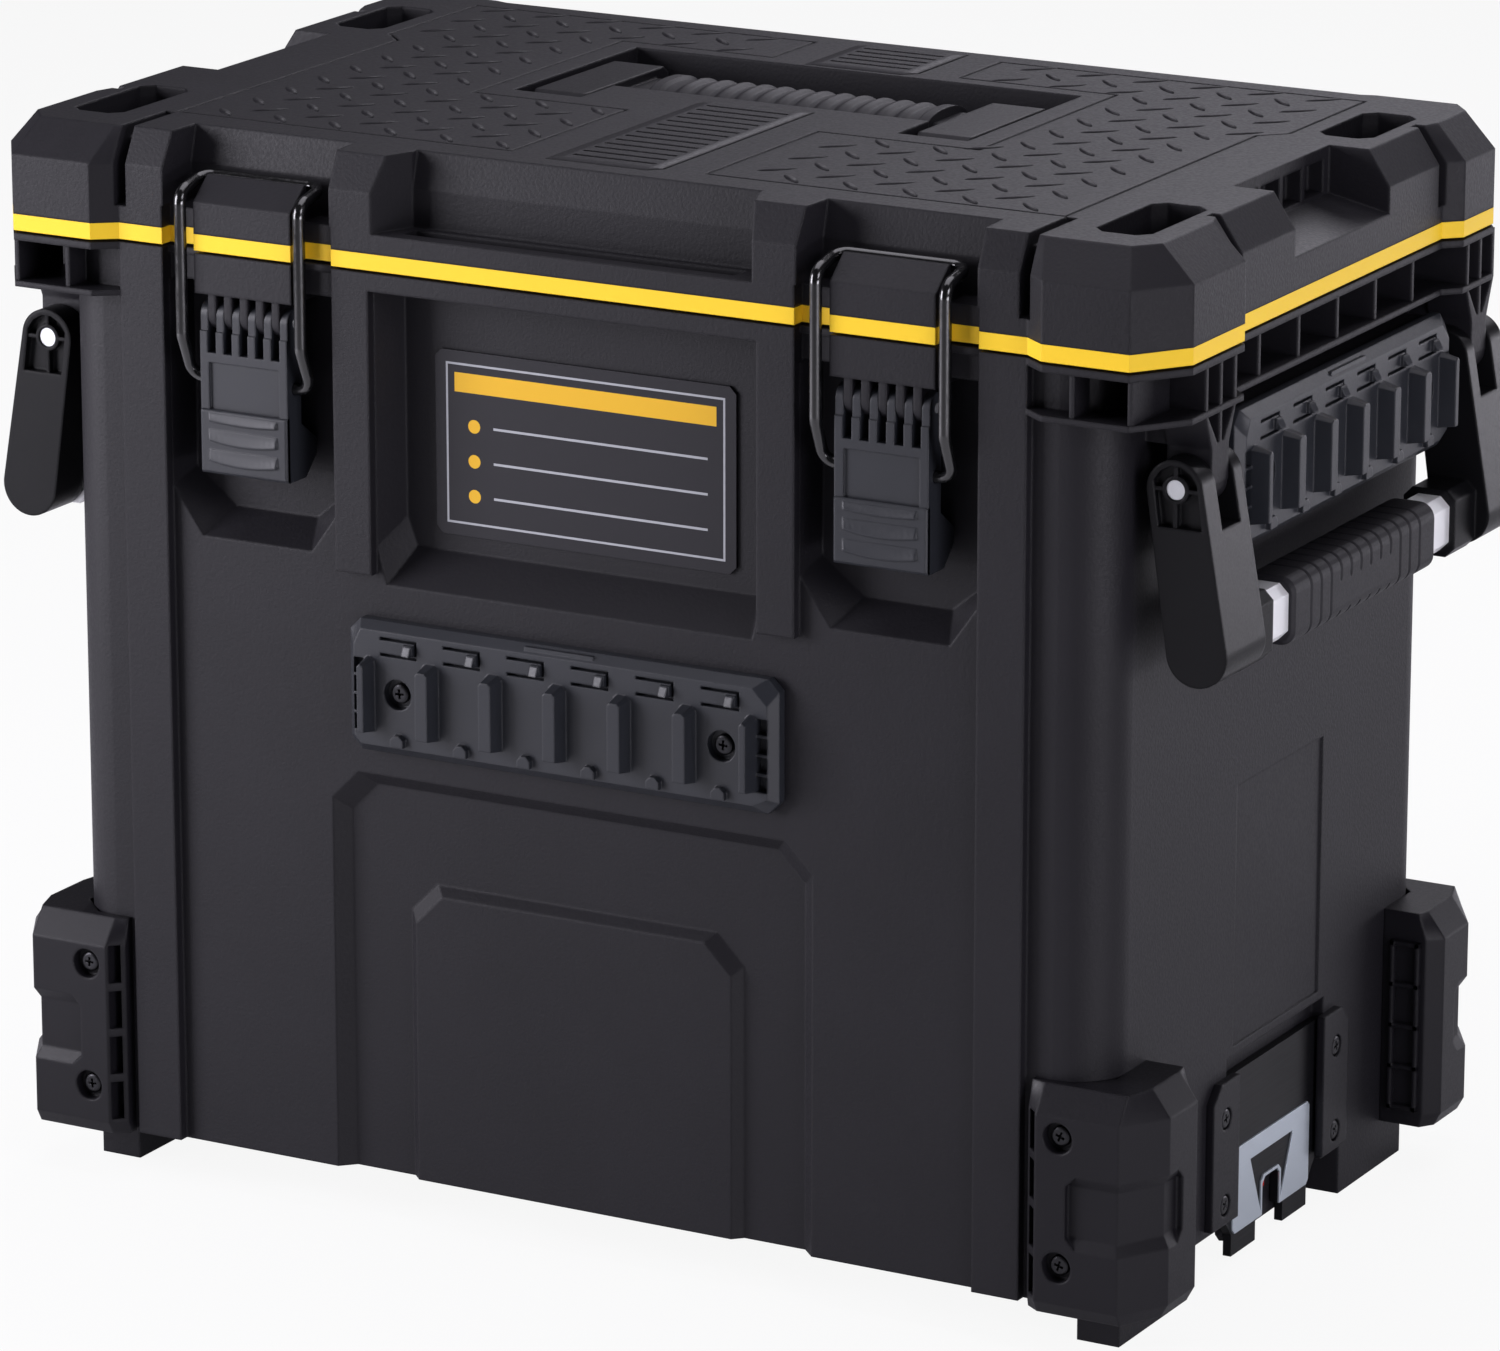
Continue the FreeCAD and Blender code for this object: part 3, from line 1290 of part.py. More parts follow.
def accessory_rail(label: str, turn: float, place: tuple[str, str, str]) -> None:
    """Mould one accessory rail in its own frame and put it in place.

    Args:
        label: name of the node.
        turn: turn about Z in degrees; 0 faces the front.
        place: texts for the middle of the rail's back face.
    """
    rail = Piece(label)
    half = "rail_height / 2"
    foot = cut_corners("-rail_half", "rail_half", f"-({half})", half, "rail_corner")
    face = cut_corners("-rail_half + rail_bevel", "rail_half - rail_bevel",
                       f"-({half}) + rail_bevel", f"{half} - rail_bevel", "rail_corner - rail_bevel / 2")
    rail.pad("Y", "-rail_edge", "0", foot)
    rail.taper("Additive", "Y", "-rail_edge", foot, "-rail_thick", face)
    rail.pad("Y", "-rail_thick + 1", "-rail_edge",
             box("-rail_tab_half", "rail_tab_half", f"{half} - rail_bevel - 1", f"{half} - 1"))
    low = f"-({half}) + rail_rib_low"
    high = f"{half} - rail_rib_drop"
    crest = "-(rail_thick + rail_rib)"
    for wide, middle, count in (("rail_rib_width", "-2 * rail_pitch", 5),
                                ("rail_fin_width", "-(rail_half - rail_fin_set)", 2)):
        at_foot = moved(arch(f"{wide} / 2", low, high, "rail_rib_tip"), middle)
        at_crest = moved(arch(f"{wide} / 2 - rail_rib_draft", f"{low} + rail_rib_draft",
                              f"{high} - rail_rib_tip", "rail_rib_draft"), middle)
        rib = rail.taper("Additive", "Y", "-rail_thick", at_foot, crest, at_crest)
        step = "rail_pitch" if count > 2 else "2 * (rail_half - rail_fin_set)"
        rail.repeat(rib, "H_Axis", count, step)
    cells = []
    for step in range(4):
        start = f"{low} + {step} * ({high} - ({low})) / 4"
        cells.append(box("rail_half - rail_fin_set + rail_fin_width / 2", "rail_half - rail_bevel",
                         start, f"{start} + ({high} - ({low})) / 4 - rail_cell_web"))
    rail.cut("Y", "-rail_thick - 1", "-rail_thick + rail_cell_deep", *cells, twin=True)
    first = "-2.5 * rail_pitch"
    stop = moved(arch("stop_half", f"-({half}) + stop_low", f"-({half}) + stop_low + stop_tall",
                      "stop_half * 0.6"), first)
    rail.repeat(rail.pad("Y", "-(rail_thick + stop_rise)", "-rail_thick", stop), "H_Axis", 6, "rail_pitch")
    over = f"{half} - tongue_drop + tongue_tall / 2"
    under = f"{half} - tongue_drop - tongue_tall / 2"
    slot = moved([
        ("-tongue_half", under),
        ("tongue_half", under),
        ("tongue_half", over),
        ("-tongue_half", over),
        ("-tongue_half", f"{over} - tongue_slot"),
        ("tongue_half - tongue_slot", f"{over} - tongue_slot"),
        ("tongue_half - tongue_slot", f"{under} + tongue_slot"),
        ("-tongue_half", f"{under} + tongue_slot"),
    ], first)
    opened = rail.cut("Y", "-rail_thick - 1", "-rail_thick + tongue_deep", slot)
    rail.repeat(opened, "H_Axis", 6, "rail_pitch")
    block = box(f"{first} + tongue_half - tongue_slot - tongue_block", f"{first} + tongue_half - tongue_slot",
                f"{half} - tongue_drop - tongue_block / 2", f"{half} - tongue_drop + tongue_block / 2")
    rail.repeat(rail.pad("Y", "-(rail_thick + tongue_rise)", "-rail_thick", block), "H_Axis", 6, "rail_pitch")
    places = [f"{sign} * rail_half * rail_screw_share" for sign in (-1, 1)]
    rail.cut("Y", "-rail_thick - 4", "-rail_thick + 4",
             *[Ring(p, "-rail_screw_sink", "counterbore_round") for p in places])
    rail.cut("Y", "-rail_thick - 1", "1", *[Ring(p, "-rail_screw_sink", "screw_shank_round") for p in places])
    rail.body.Placement = Placement(Vector(), Rotation(Vector(0, 0, 1), turn))
    for letter, text in zip("xyz", place):
        rail.body.setExpression(f"Placement.Base.{letter}", bind(text))


def screw(label: str, place: tuple[str, str, str], direction: Vector):
    """Make a plain pan-head screw whose head sits on a place and whose shank runs on.

    Args:
        label: name of the screw object.
        place: texts for the outer middle of the head.
        direction: unit direction in which the shank runs.

    Returns:
        the fused screw object.
    """
    turn = Rotation(Vector(0, 0, 1), direction)
    parts = []
    for part, radius, long in (("head", "screw_head_round", "screw_head_high"),
                               ("shank", "screw_shank_round - running_gap", "screw_long")):
        rod = doc.addObject("Part::Cylinder", f"{label}_{part}")
        rod.setExpression("Radius", bind(radius))
        rod.setExpression("Height", bind(long))
        rod.Placement = Placement(Vector(), turn)
        for letter, text in zip("xyz", place):
            rod.setExpression(f"Placement.Base.{letter}", bind(text))
        parts.append(rod)
    whole = doc.addObject("Part::Fuse", label)
    whole.Base = parts[0]
    whole.Tool = parts[1]
    return whole


def group(label: str, members: list) -> None:
    """Add a node that is a group of separate like solids."""
    bundle = doc.addObject("Part::Compound", label)
    bundle.Label = label
    bundle.Links = members
    nodes[label] = bundle


def rails_and_screws() -> None:
    """Place the three rails, their screws and the seats' screw holes."""
    accessory_rail("accessory_rail_front", 0, ("0", "panel_y", "rail_z"))
    accessory_rail("accessory_rail_right", 90, ("rail_seat", "side_middle", "side_rail_z"))
    mirrored("accessory_rail_left", "accessory_rail_right", SIDEWAYS)
    screws = []
    for sign in (-1, 1):
        along = f"{sign} * rail_half * rail_screw_share"
        head = "rail_thick - 4 + screw_head_high"
        screws.append(screw(f"rail_screw_front_{sign + 1}",
                            (along, f"panel_y - ({head})", "rail_z - rail_screw_sink"), Vector(0, 1, 0)))
        for side in (-1, 1):
            screws.append(screw(f"rail_screw_side_{sign + 1}_{side + 1}",
                                (f"{side} * (rail_seat + {head})", f"side_middle + {along}",
                                 "side_rail_z - rail_screw_sink"),
                                Vector(-side, 0, 0)))
    group("rail_screws", screws)


def side_handle() -> None:
    """Make the right side handle: two forked arms, an aluminium tube, a grip and its pins."""
    arm = Piece("side_handle_arm_right_front")
    tilt_cos = "(arm_long / sqrt(arm_long ^ 2 + arm_out ^ 2))"
    tilt_sin = "(arm_out / sqrt(arm_long ^ 2 + arm_out ^ 2))"
    arm.pad("Y", "arm_front_y", "arm_back_y", [
        (f"pin_x + arm_top_round * {tilt_cos}", f"pin_z + arm_top_round * {tilt_sin}"),
        (f"pin_x - arm_top_round * {tilt_cos}", f"pin_z - arm_top_round * {tilt_sin}"),
        (f"low_arm_x - arm_low_round * {tilt_cos}", f"bar_z - arm_low_round * {tilt_sin}"),
        (f"low_arm_x + arm_low_round * {tilt_cos}", f"bar_z + arm_low_round * {tilt_sin}"),
    ])
    arm.pad("Y", "arm_front_y", "arm_back_y", Ring("pin_x", "pin_z", "arm_top_round"))
    arm.pad("Y", "arm_front_y", "arm_back_y", Ring("low_arm_x", "bar_z", "arm_low_round"))
    arm.pad("Y", "arm_back_y - 1", "arm_back_y + socket_long", tube_outline("socket_thick"))
    arm.cut("Y", "arm_back_y - bar_in - 1", "arm_back_y + socket_long + 1", tube_outline("0"))
    arm.cut("Y", "post_y - post_width / 2 - fork_gap", "post_y + post_width / 2 + fork_gap",
            box("pin_x - arm_top_round - 5", "pin_x + arm_top_round + 5",
                "pin_z - fork_bottom", "pin_z + arm_top_round + 5"))
    lean = "arm_window_low * arm_out / arm_long"
    window = [
        (f"pin_x - arm_window_half + {lean}", "pin_z - arm_window_low"),
        (f"pin_x + arm_window_half + {lean}", "pin_z - arm_window_low"),
        ("pin_x + arm_window_half", "pin_z + arm_window_high / 3"),
        ("pin_x + arm_window_half * 0.7", "pin_z + arm_window_high * 0.75"),
        ("pin_x + arm_window_half * 0.25", "pin_z + arm_window_high"),
        ("pin_x - arm_window_half * 0.25", "pin_z + arm_window_high"),
        ("pin_x - arm_window_half * 0.7", "pin_z + arm_window_high * 0.75"),
        ("pin_x - arm_window_half", "pin_z + arm_window_high / 3"),
    ]
    sunk = "arm_front_y + arm_window_deep"
    arm.cut("Y", "arm_front_y - 1", sunk, window)
    proud = "arm_front_y + arm_boss_set"
    arm.pad("Y", proud, sunk, Ring("pin_x", "pin_z", "arm_boss_round"))
    arm.pad("Y", proud, sunk, box("pin_x - arm_web / 2", "pin_x + arm_web / 2",
                                  "pin_z - arm_window_low - 1", "pin_z + arm_window_high + 1"))
    arm.pad("Y", proud, sunk, box("pin_x - arm_window_half - 1", "pin_x + arm_window_half + 1",
                                  "pin_z - arm_web / 2", "pin_z + arm_web / 2"))
    arm.cut("Y", "arm_front_y - 1", "arm_back_y + 1",
            Ring("pin_x", "pin_z", "handle_pin_round + running_gap"))
    mirrored("side_handle_arm_right_rear", "side_handle_arm_right_front", BACKWARD, "side_middle")
    tube = Piece("side_handle_bar_right")
    end = "arm_back_y - bar_in"
    tube.pad("Y", end, f"2 * side_middle - ({end})", tube_outline("0"), tube_outline("-bar_wall"))
    grip = Piece("side_handle_grip_right")
    start = "arm_back_y + socket_long + bar_bare"
    stop = f"2 * side_middle - ({start})"
    grip.pad("Y", start, stop, tube_outline("grip_thick"), tube_outline("0"))
    for near in (f"{start} + 6 * grip_ring_pitch", f"{stop} - grip_ring_pitch - grip_ring_width"):
        ring = grip.cut("Y", near, f"{near} + grip_ring_width",
                        tube_outline("grip_thick + 1"), tube_outline("grip_thick - grip_ring_deep"))
        grip.repeat(ring, "N_Axis", 6, "grip_ring_pitch")
    pins = []
    for label, middle in (("front", "post_y"), ("rear", "rear_post_y")):
        pin = doc.addObject("Part::Cylinder", f"side_pin_{label}")
        pin.setExpression("Radius", bind("handle_pin_round"))
        pin.setExpression("Height", bind("arm_front_half + arm_back_half - 2"))
        pin.Placement = Placement(Vector(), Rotation(Vector(0, 0, 1), Vector(0, 1, 0)))
        pin.setExpression("Placement.Base.x", bind("pin_x"))
        near = "arm_front_y + 1" if label == "front" else "2 * side_middle - arm_back_y + 1"
        pin.setExpression("Placement.Base.y", bind(near))
        pin.setExpression("Placement.Base.z", bind("pin_z"))
        pins.append(pin)
    group("side_handle_pins_right", pins)
    for name in ("arm_{}_front", "arm_{}_rear", "bar_{}", "grip_{}", "pins_{}"):
        mirrored("side_handle_" + name.format("left"), "side_handle_" + name.format("right"), SIDEWAYS)


def tube_outline(grow: str) -> list[Pair]:
    """Return the cut-corner outline of the handle tube, grown by a size."""
    return cut_corners(
        f"bar_x - bar_wide / 2 - ({grow})", f"bar_x + bar_wide / 2 + ({grow})",
        f"bar_z - bar_tall / 2 - ({grow})", f"bar_z + bar_tall / 2 + ({grow})", "bar_corner")


def top_handle() -> None:
    """Make the top handle: a frame of two arms and a core, a ribbed grip and two pins."""
    frame = Piece("top_handle_frame")
    top = "lid_top - top_sink"
    low = "top_pivot_z - top_arm_low"
    arm = [
        ("top_pivot_y - top_arm_front", "top_pivot_z - 3"),
        ("top_pivot_y - top_arm_front + 4", low),
        ("top_arm_back - 5", low),
        ("top_arm_back", f"{low} + 5"),
        ("top_arm_back", f"{top} - 3"),
        ("top_arm_back - 4", top),
        ("top_pivot_y - top_arm_front + 5", top),
        ("top_pivot_y - top_arm_front", f"{top} - 5"),
    ]
    frame.pad_sides("top_arm_in", "top_arm_out", arm)
    core = cut_corners("top_grip_front + top_core_inset", "top_grip_back - top_core_inset",
                       "top_pivot_z - top_grip_low + 4", "lid_top - top_sink - 4", "3")
    frame.pad("X", "-(top_arm_in + 1)", "top_arm_in + 1", core)
    frame.cut("X", "-(top_arm_out + 1)", "top_arm_out + 1",
              Ring("top_pivot_y", "top_pivot_z", "top_pin_round + running_gap"))
    grip = Piece("top_handle_grip")
    outside = cut_corners("top_grip_front", "top_grip_back",
                          "top_pivot_z - top_grip_low", "lid_top - top_sink", "6")
    grip.pad("X", "-top_grip_half", "top_grip_half", outside, core)
    waist = cut_corners("top_grip_front + top_groove_deep", "top_grip_back - top_groove_deep",
                        "top_pivot_z - top_grip_low + top_groove_deep",
                        "lid_top - top_sink - top_groove_deep", "5.4")
    beyond = box("top_grip_front - 2", "top_grip_back + 2", "top_pivot_z - top_grip_low - 2", "lid_top + 2")
    for step in range(-6, 7):
        place = f"{step} * top_grip_half / 7"
        grip.cut("X", f"{place} - top_groove_half", f"{place} + top_groove_half", beyond, waist)
    pins = []
    for label, start in (("left", "-(top_arm_out + top_clear + lid_roof)"),
                         ("right", "top_arm_out - top_pin_in")):
        pin = doc.addObject("Part::Cylinder", f"top_pin_{label}")
        pin.setExpression("Radius", bind("top_pin_round"))
        pin.setExpression("Height", bind("top_pin_in + top_clear + lid_roof"))
        pin.Placement = Placement(Vector(), Rotation(Vector(0, 0, 1), Vector(1, 0, 0)))
        for letter, text in zip("xyz", (start, "top_pivot_y", "top_pivot_z")):
            pin.setExpression(f"Placement.Base.{letter}", bind(text))
        pins.append(pin)
    group("top_handle_pins", pins)


def guard_outline(draw_in: str) -> list[Pair]:
    """Return the plan outline of the right front guard, drawn in on its outer faces."""
    gap = "guard_gap"
    inner_corner = "body_corner * (2 - sqrt(2))"
    bevel = f"guard_bevel + {draw_in} * guard_bevel_share"
    return [
        ("half_width - guard_front_reach", "panel_y"),
        ("half_width - guard_front_reach", f"front_y + {bevel}"),
        ("half_width - guard_front_reach + guard_bevel", f"front_y + {draw_in}"),
        ("half_width - corner_run_x", f"front_y + {draw_in}"),
        (f"half_width - guard_side_set - {draw_in}", "front_y + corner_run_y - 2"),
        (f"half_width - guard_side_set - {draw_in}", "front_y + guard_side_end - guard_bevel"),
        (f"half_width - guard_side_set - ({bevel})", "front_y + guard_side_end"),
        ("side_wall_x", "front_y + guard_side_end"),
        ("side_wall_x", f"panel_y + {inner_corner} - {gap}"),
        (f"side_wall_x - {inner_corner} + {gap}", "panel_y"),
    ]


def guard_panel(deep: str, trim: str) -> list[Pair]:
    """Return the plan outline of the guard's sunk panel, from outside the guard.

    Args:
        deep: how deep the panel lies under the guard's faces.
        trim: how far its two ends are drawn in.
    """
    start = f"half_width - guard_panel_start + {trim}"
    stop = f"front_y + guard_panel_end - {trim}"
    flank = f"half_width - guard_side_set - ({deep})"
    return [
        (start, "front_y - 5"),
        (start, f"front_y + ({deep})"),
        (f"half_width - corner_run_x - ({deep}) / 2", f"front_y + ({deep})"),
        (flank, f"front_y + corner_run_y - 2 + ({deep}) / 2"),
        (flank, stop),
        ("half_width + 5", stop),
        ("half_width + 5", "front_y - 5"),
    ]


def corner_guards() -> None:
    """Mould the right front corner guard and mirror it to the other corners."""
    guard = Piece("corner_guard_front_right")
    outline = guard_outline("0")
    guard.pad("Z", "guard_low + guard_low_chamfer", "guard_face_top", outline)
    guard.taper("Additive", "Z", "guard_face_top", outline, "guard_top", guard_outline("guard_chamfer"))
    guard.taper("Additive", "Z", "guard_low + guard_low_chamfer", outline, "guard_low", guard_outline("3"))
    sunk = guard_panel("guard_panel_deep", "0")
    edge = guard_panel("-0.2", "guard_panel_run")
    guard.cut("Z", "guard_panel_low + guard_panel_run", "guard_panel_high - guard_panel_run", sunk)
    guard.taper("Subtractive", "Z", "guard_panel_low + guard_panel_run", sunk, "guard_panel_low", edge)
    guard.taper("Subtractive", "Z", "guard_panel_high - guard_panel_run", sunk, "guard_panel_high", edge)
    end = "half_width - guard_front_reach"
    start = "guard_low + guard_low_chamfer + guard_cell_wall"
    cell = guard.cut("Z", start, f"{start} + guard_cell_tall",
                     box(f"{end} + guard_cell_wall", f"{end} + guard_bevel - guard_cell_wall / 2",
                         "front_y - 1", "panel_y - guard_cell_wall"))
    guard.repeat(cell, "N_Axis", 4, "guard_cell_pitch")
    levels = ("guard_screw_low", "guard_screw_high")
    heads = [Ring("half_width - guard_screw_x", level, "counterbore_round") for level in levels]
    shanks = [Ring("half_width - guard_screw_x", level, "screw_shank_round") for level in levels]
    guard.cut("Y", "front_y - 1", "front_y + guard_screw_sink", *heads)
    guard.cut("Y", "front_y - 1", "panel_y + body_corner", *shanks)
    mirrored("corner_guard_front_left", "corner_guard_front_right", SIDEWAYS)
    mirrored("corner_guard_rear_right", "corner_guard_front_right", BACKWARD, "middle_y")
    mirrored("corner_guard_rear_left", "corner_guard_rear_right", SIDEWAYS)
    screws = []
    for side in (-1, 1):
        for height in ("low", "high"):
            across = f"{side} * (half_width - guard_screw_x)"
            sink = "guard_screw_sink - screw_head_high"
            level = f"guard_screw_{height}"
            screws.append(screw(f"guard_screw_front_{side + 1}_{height}",
                                (across, f"front_y + {sink}", level), Vector(0, 1, 0)))
            screws.append(screw(f"guard_screw_rear_{side + 1}_{height}",
                                (across, f"rear_y - ({sink})", level), Vector(0, -1, 0)))
    group("guard_screws", screws)


def stack_locks() -> None:
    """Make the right stack lock: bracket strips, slider, face plate and flag."""
    bracket_group = []
    for sign in (-1, 1):
        bracket = Piece(f"lock_strip_{sign + 1}")
        near = "lock_half"
        far = "lock_half + bracket_wide"
        strip = [
            (f"lock_y + {sign} * ({near})", "bracket_low"),
            (f"lock_y + {sign} * ({far})", "bracket_low"),
            (f"lock_y + {sign} * ({far})", "bracket_high - bracket_corner"),
            (f"lock_y + {sign} * ({far} - bracket_corner)", "bracket_high"),
            (f"lock_y + {sign} * ({near})", "bracket_high"),
        ]
        bracket.pad("X", "side_wall_x", "side_wall_x + bracket_thick", strip)
        holes = [Ring(f"lock_y + {sign} * lock_screw_half", z, "screw_shank_round")
                 for z in ("lock_screw_low", "lock_screw_high")]
        bracket.cut("X", "side_wall_x - 1", "side_wall_x + bracket_thick + 1", *holes)
        sinks = [Ring(f"lock_y + {sign} * lock_screw_half", z, "bracket_hole_round")
                 for z in ("lock_screw_low", "lock_screw_high")]
        bracket.cut("X", "side_wall_x + bracket_seat", "side_wall_x + bracket_thick + 1", *sinks)
        bracket_group.append(nodes.pop(f"lock_strip_{sign + 1}"))
    group("lock_brackets_right", bracket_group)
    mirrored("lock_brackets_left", "lock_brackets_right", SIDEWAYS)
    slider = Piece("lock_slider_right")
    back = "lock_floor_x + slider_gap"
    front = f"{back} + slider_thick"
    wing = "(lock_half + lock_wing)"
    slider.pad("X", back, front, [
        (f"lock_y - {wing}", "foot_height + 4"),
        ("lock_y - hook_out", "slider_low"),
        ("lock_y - hook_out", "hook_low"),
        ("lock_y - hook_in", "hook_low"),
        ("lock_y - hook_in", "slider_low"),
        ("lock_y + hook_in", "slider_low"),
        ("lock_y + hook_in", "hook_low"),
        ("lock_y + hook_out", "hook_low"),
        ("lock_y + hook_out", "slider_low"),
        (f"lock_y + {wing}", "foot_height + 4"),
        (f"lock_y + {wing}", "slider_top"),
        (f"lock_y - {wing}", "slider_top"),
    ])
    key = moved(arch("key_half", "slider_low - 1", "key_top", "key_corner"), "lock_y")
    lip = moved(arch("key_half + key_lip", "slider_low", "key_top + key_lip", "key_corner"), "lock_y")
    slider.cut("X", f"{back} - 1", f"{front} + 1", key)
    plate = Piece("lock_face_right")
    plate.pad("X", front, f"{front} + face_thick",
              cut_corners("lock_y - face_half", "lock_y + face_half", "slider_low", "face_top", "2"))
    plate.cut("X", f"{front} - 1", f"{front} + face_thick + 1", [
        ("lock_y - key_half", "slider_low - 1"),
        ("lock_y + key_half", "slider_low - 1"),
        ("lock_y + cutout_half", "cutout_top"),
        ("lock_y - cutout_half", "cutout_top"),
    ])
    plate.pad("X", front, f"{front} + face_thick", lip)
    plate.cut("X", f"{front} - 1", f"{front} + face_thick + 1", key)
    flag = Piece("lock_flag_right")
    flag.pad("X", "lock_floor_x", "lock_floor_x + slider_gap / 2",
             box("lock_y - flag_half", "lock_y + flag_half",
                 "foot_height + flag_rise", "foot_height + flag_rise + flag_tall"))
    for name in ("lock_slider", "lock_face", "lock_flag"):
        mirrored(f"{name}_left", f"{name}_right", SIDEWAYS)
    screws = []
    for side in (-1, 1):
        for sign in (-1, 1):
            for height in ("low", "high"):
                across = f"{side} * (side_wall_x + bracket_seat + screw_head_high)"
                screws.append(screw(f"lock_screw_{side + 1}_{sign + 1}_{height}",
                                    (across, f"lock_y + {sign} * lock_screw_half", f"lock_screw_{height}"),
                                    Vector(-side, 0, 0)))
    group("lock_screws", screws)


def label_plate() -> None:
    """Make the bare plate in the front recess."""
    plate = Piece("label_plate")
    low = "rim_top - label_low_drop"
    plate.pad("Y", "front_y + label_set - label_thick", "front_y + label_set",
              cut_corners("-label_half", "label_half", low, f"{low} + label_tall", "3"))


def hinge_pins() -> None:
    """Make the two pins of the lid hinge."""
    pins = []
    for label, start in (("left", "-(hinge_place + hinge_half)"), ("right", "hinge_place - hinge_half")):
        pin = doc.addObject("Part::Cylinder", f"hinge_pin_{label}")
        pin.setExpression("Radius", bind("hinge_pin_round"))
        pin.setExpression("Height", bind("2 * hinge_half"))
        pin.Placement = Placement(Vector(), Rotation(Vector(0, 0, 1), Vector(1, 0, 0)))
        for letter, text in zip("xyz", (start, "hinge_y", "hinge_z")):
            pin.setExpression(f"Placement.Base.{letter}", bind(text))
        pins.append(pin)
    group("hinge_pins", pins)


def report_state() -> None:
    """Stop with a list of the objects that failed and the nodes without a sound solid."""
    faults = [f"{o.Label}: {o.State}" for o in doc.Objects if {"Invalid", "Error"} & set(o.State)]
    for label, node in nodes.items():
        if node.Shape.isNull() or not node.Shape.isValid() or not node.Shape.Solids:
            faults.append(f"{label}: no sound solid")
    if faults:
        raise RuntimeError("\n".join(faults))


def main() -> None:
    """Build every piece, check the document and write one file for each node."""
    body_shell()
    lid_shell()
    band_and_seal()
    latch_lever()
    latch_bail()
    rails_and_screws()
    side_handle()
    top_handle()
    corner_guards()
    stack_locks()
    label_plate()
    hinge_pins()
    for body in doc.findObjects("PartDesign::Body"):
        body.Tip.Refine = True
    doc.recompute()
    report_state()
    os.makedirs("parts", exist_ok=True)
    for label, node in nodes.items():
        node.Shape.exportStep(f"parts/{label}.step")


main()
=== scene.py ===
"""Visual model of a stackable site toolbox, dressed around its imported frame."""
import logging
import math
from dataclasses import dataclass
from enum import Enum

import bmesh
import bpy
from mathutils import Matrix, Vector


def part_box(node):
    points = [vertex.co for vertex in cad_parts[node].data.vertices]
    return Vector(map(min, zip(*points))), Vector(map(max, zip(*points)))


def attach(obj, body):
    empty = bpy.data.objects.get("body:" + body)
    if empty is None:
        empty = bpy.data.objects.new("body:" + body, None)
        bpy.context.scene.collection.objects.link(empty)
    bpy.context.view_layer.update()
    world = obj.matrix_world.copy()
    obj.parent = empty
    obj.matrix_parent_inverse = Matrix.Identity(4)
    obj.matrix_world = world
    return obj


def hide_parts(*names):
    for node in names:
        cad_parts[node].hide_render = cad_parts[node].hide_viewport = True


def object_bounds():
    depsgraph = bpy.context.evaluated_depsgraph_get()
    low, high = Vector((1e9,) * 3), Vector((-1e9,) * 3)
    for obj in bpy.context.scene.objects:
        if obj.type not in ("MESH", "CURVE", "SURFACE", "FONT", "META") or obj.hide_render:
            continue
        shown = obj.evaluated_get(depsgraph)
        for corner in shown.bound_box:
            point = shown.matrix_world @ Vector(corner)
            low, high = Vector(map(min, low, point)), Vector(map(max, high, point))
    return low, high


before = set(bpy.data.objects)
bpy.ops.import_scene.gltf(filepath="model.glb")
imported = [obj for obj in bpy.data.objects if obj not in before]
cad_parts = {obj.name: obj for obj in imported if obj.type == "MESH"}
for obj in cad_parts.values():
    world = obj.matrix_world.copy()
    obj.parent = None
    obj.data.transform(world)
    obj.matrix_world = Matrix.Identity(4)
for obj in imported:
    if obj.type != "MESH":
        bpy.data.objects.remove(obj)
CAD_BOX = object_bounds()
LOG = logging.getLogger("toolbox")
MM = 0.001
SIDES = ("left", "right")
ENDS = ("front", "rear")
OUTWARD = {"left": -1, "right": 1}
# Nearly all values of a noise texture lie between these two.
NOISE_LOW, NOISE_HIGH = 0.3, 0.7


def box_mm(node: str) -> tuple[Vector, Vector]:
    """Return the lowest and highest corner of a carried-over piece, in millimetres."""
    low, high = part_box(node)
    return low / MM, high / MM


class Relief(Enum):
    """How a surface was made; a brushed one has its grain drawn out along the brush."""

    SPARKED = "moulded against a spark-eroded tool, an even fine grain"
    SATIN = "moulded against a blasted tool, almost smooth"
    HAIRLINE = "brushed along one direction"
    COATED = "dipped or sprayed, with a slight orange peel"


def linear(code: str) -> tuple[float, float, float, float]:
    """Turn an sRGB hex colour into linear light, with the numbers of the sRGB standard.

    Args:
        code: six hex digits with or without a leading hash.

    Returns:
        red, green, blue and an alpha of 1.
    """
    code = code.lstrip("#")
    parts = []
    for place in (0, 2, 4):
        level = int(code[place:place + 2], 16) / 255
        parts.append(level / 12.92 if level <= 0.04045 else ((level + 0.055) / 1.055) ** 2.4)
    return (*parts, 1.0)


def add_node(tree: bpy.types.NodeTree, kind: str, inputs: dict[str | int, object] | None = None,
             **settings: object) -> bpy.types.Node:
    """Add a node with its settings and links.

    Args:
        tree: the tree that gets the node.
        kind: Blender's node type.
        inputs: values or output sockets by input name or number.
        settings: properties of the node.

    Returns:
        the new node.
    """
    made = tree.nodes.new(kind)
    for name, setting in settings.items():
        setattr(made, name, setting)
    for name, given in (inputs or {}).items():
        if isinstance(given, bpy.types.NodeSocket):
            tree.links.new(given, made.inputs[name])
        else:
            made.inputs[name].default_value = given
    return made


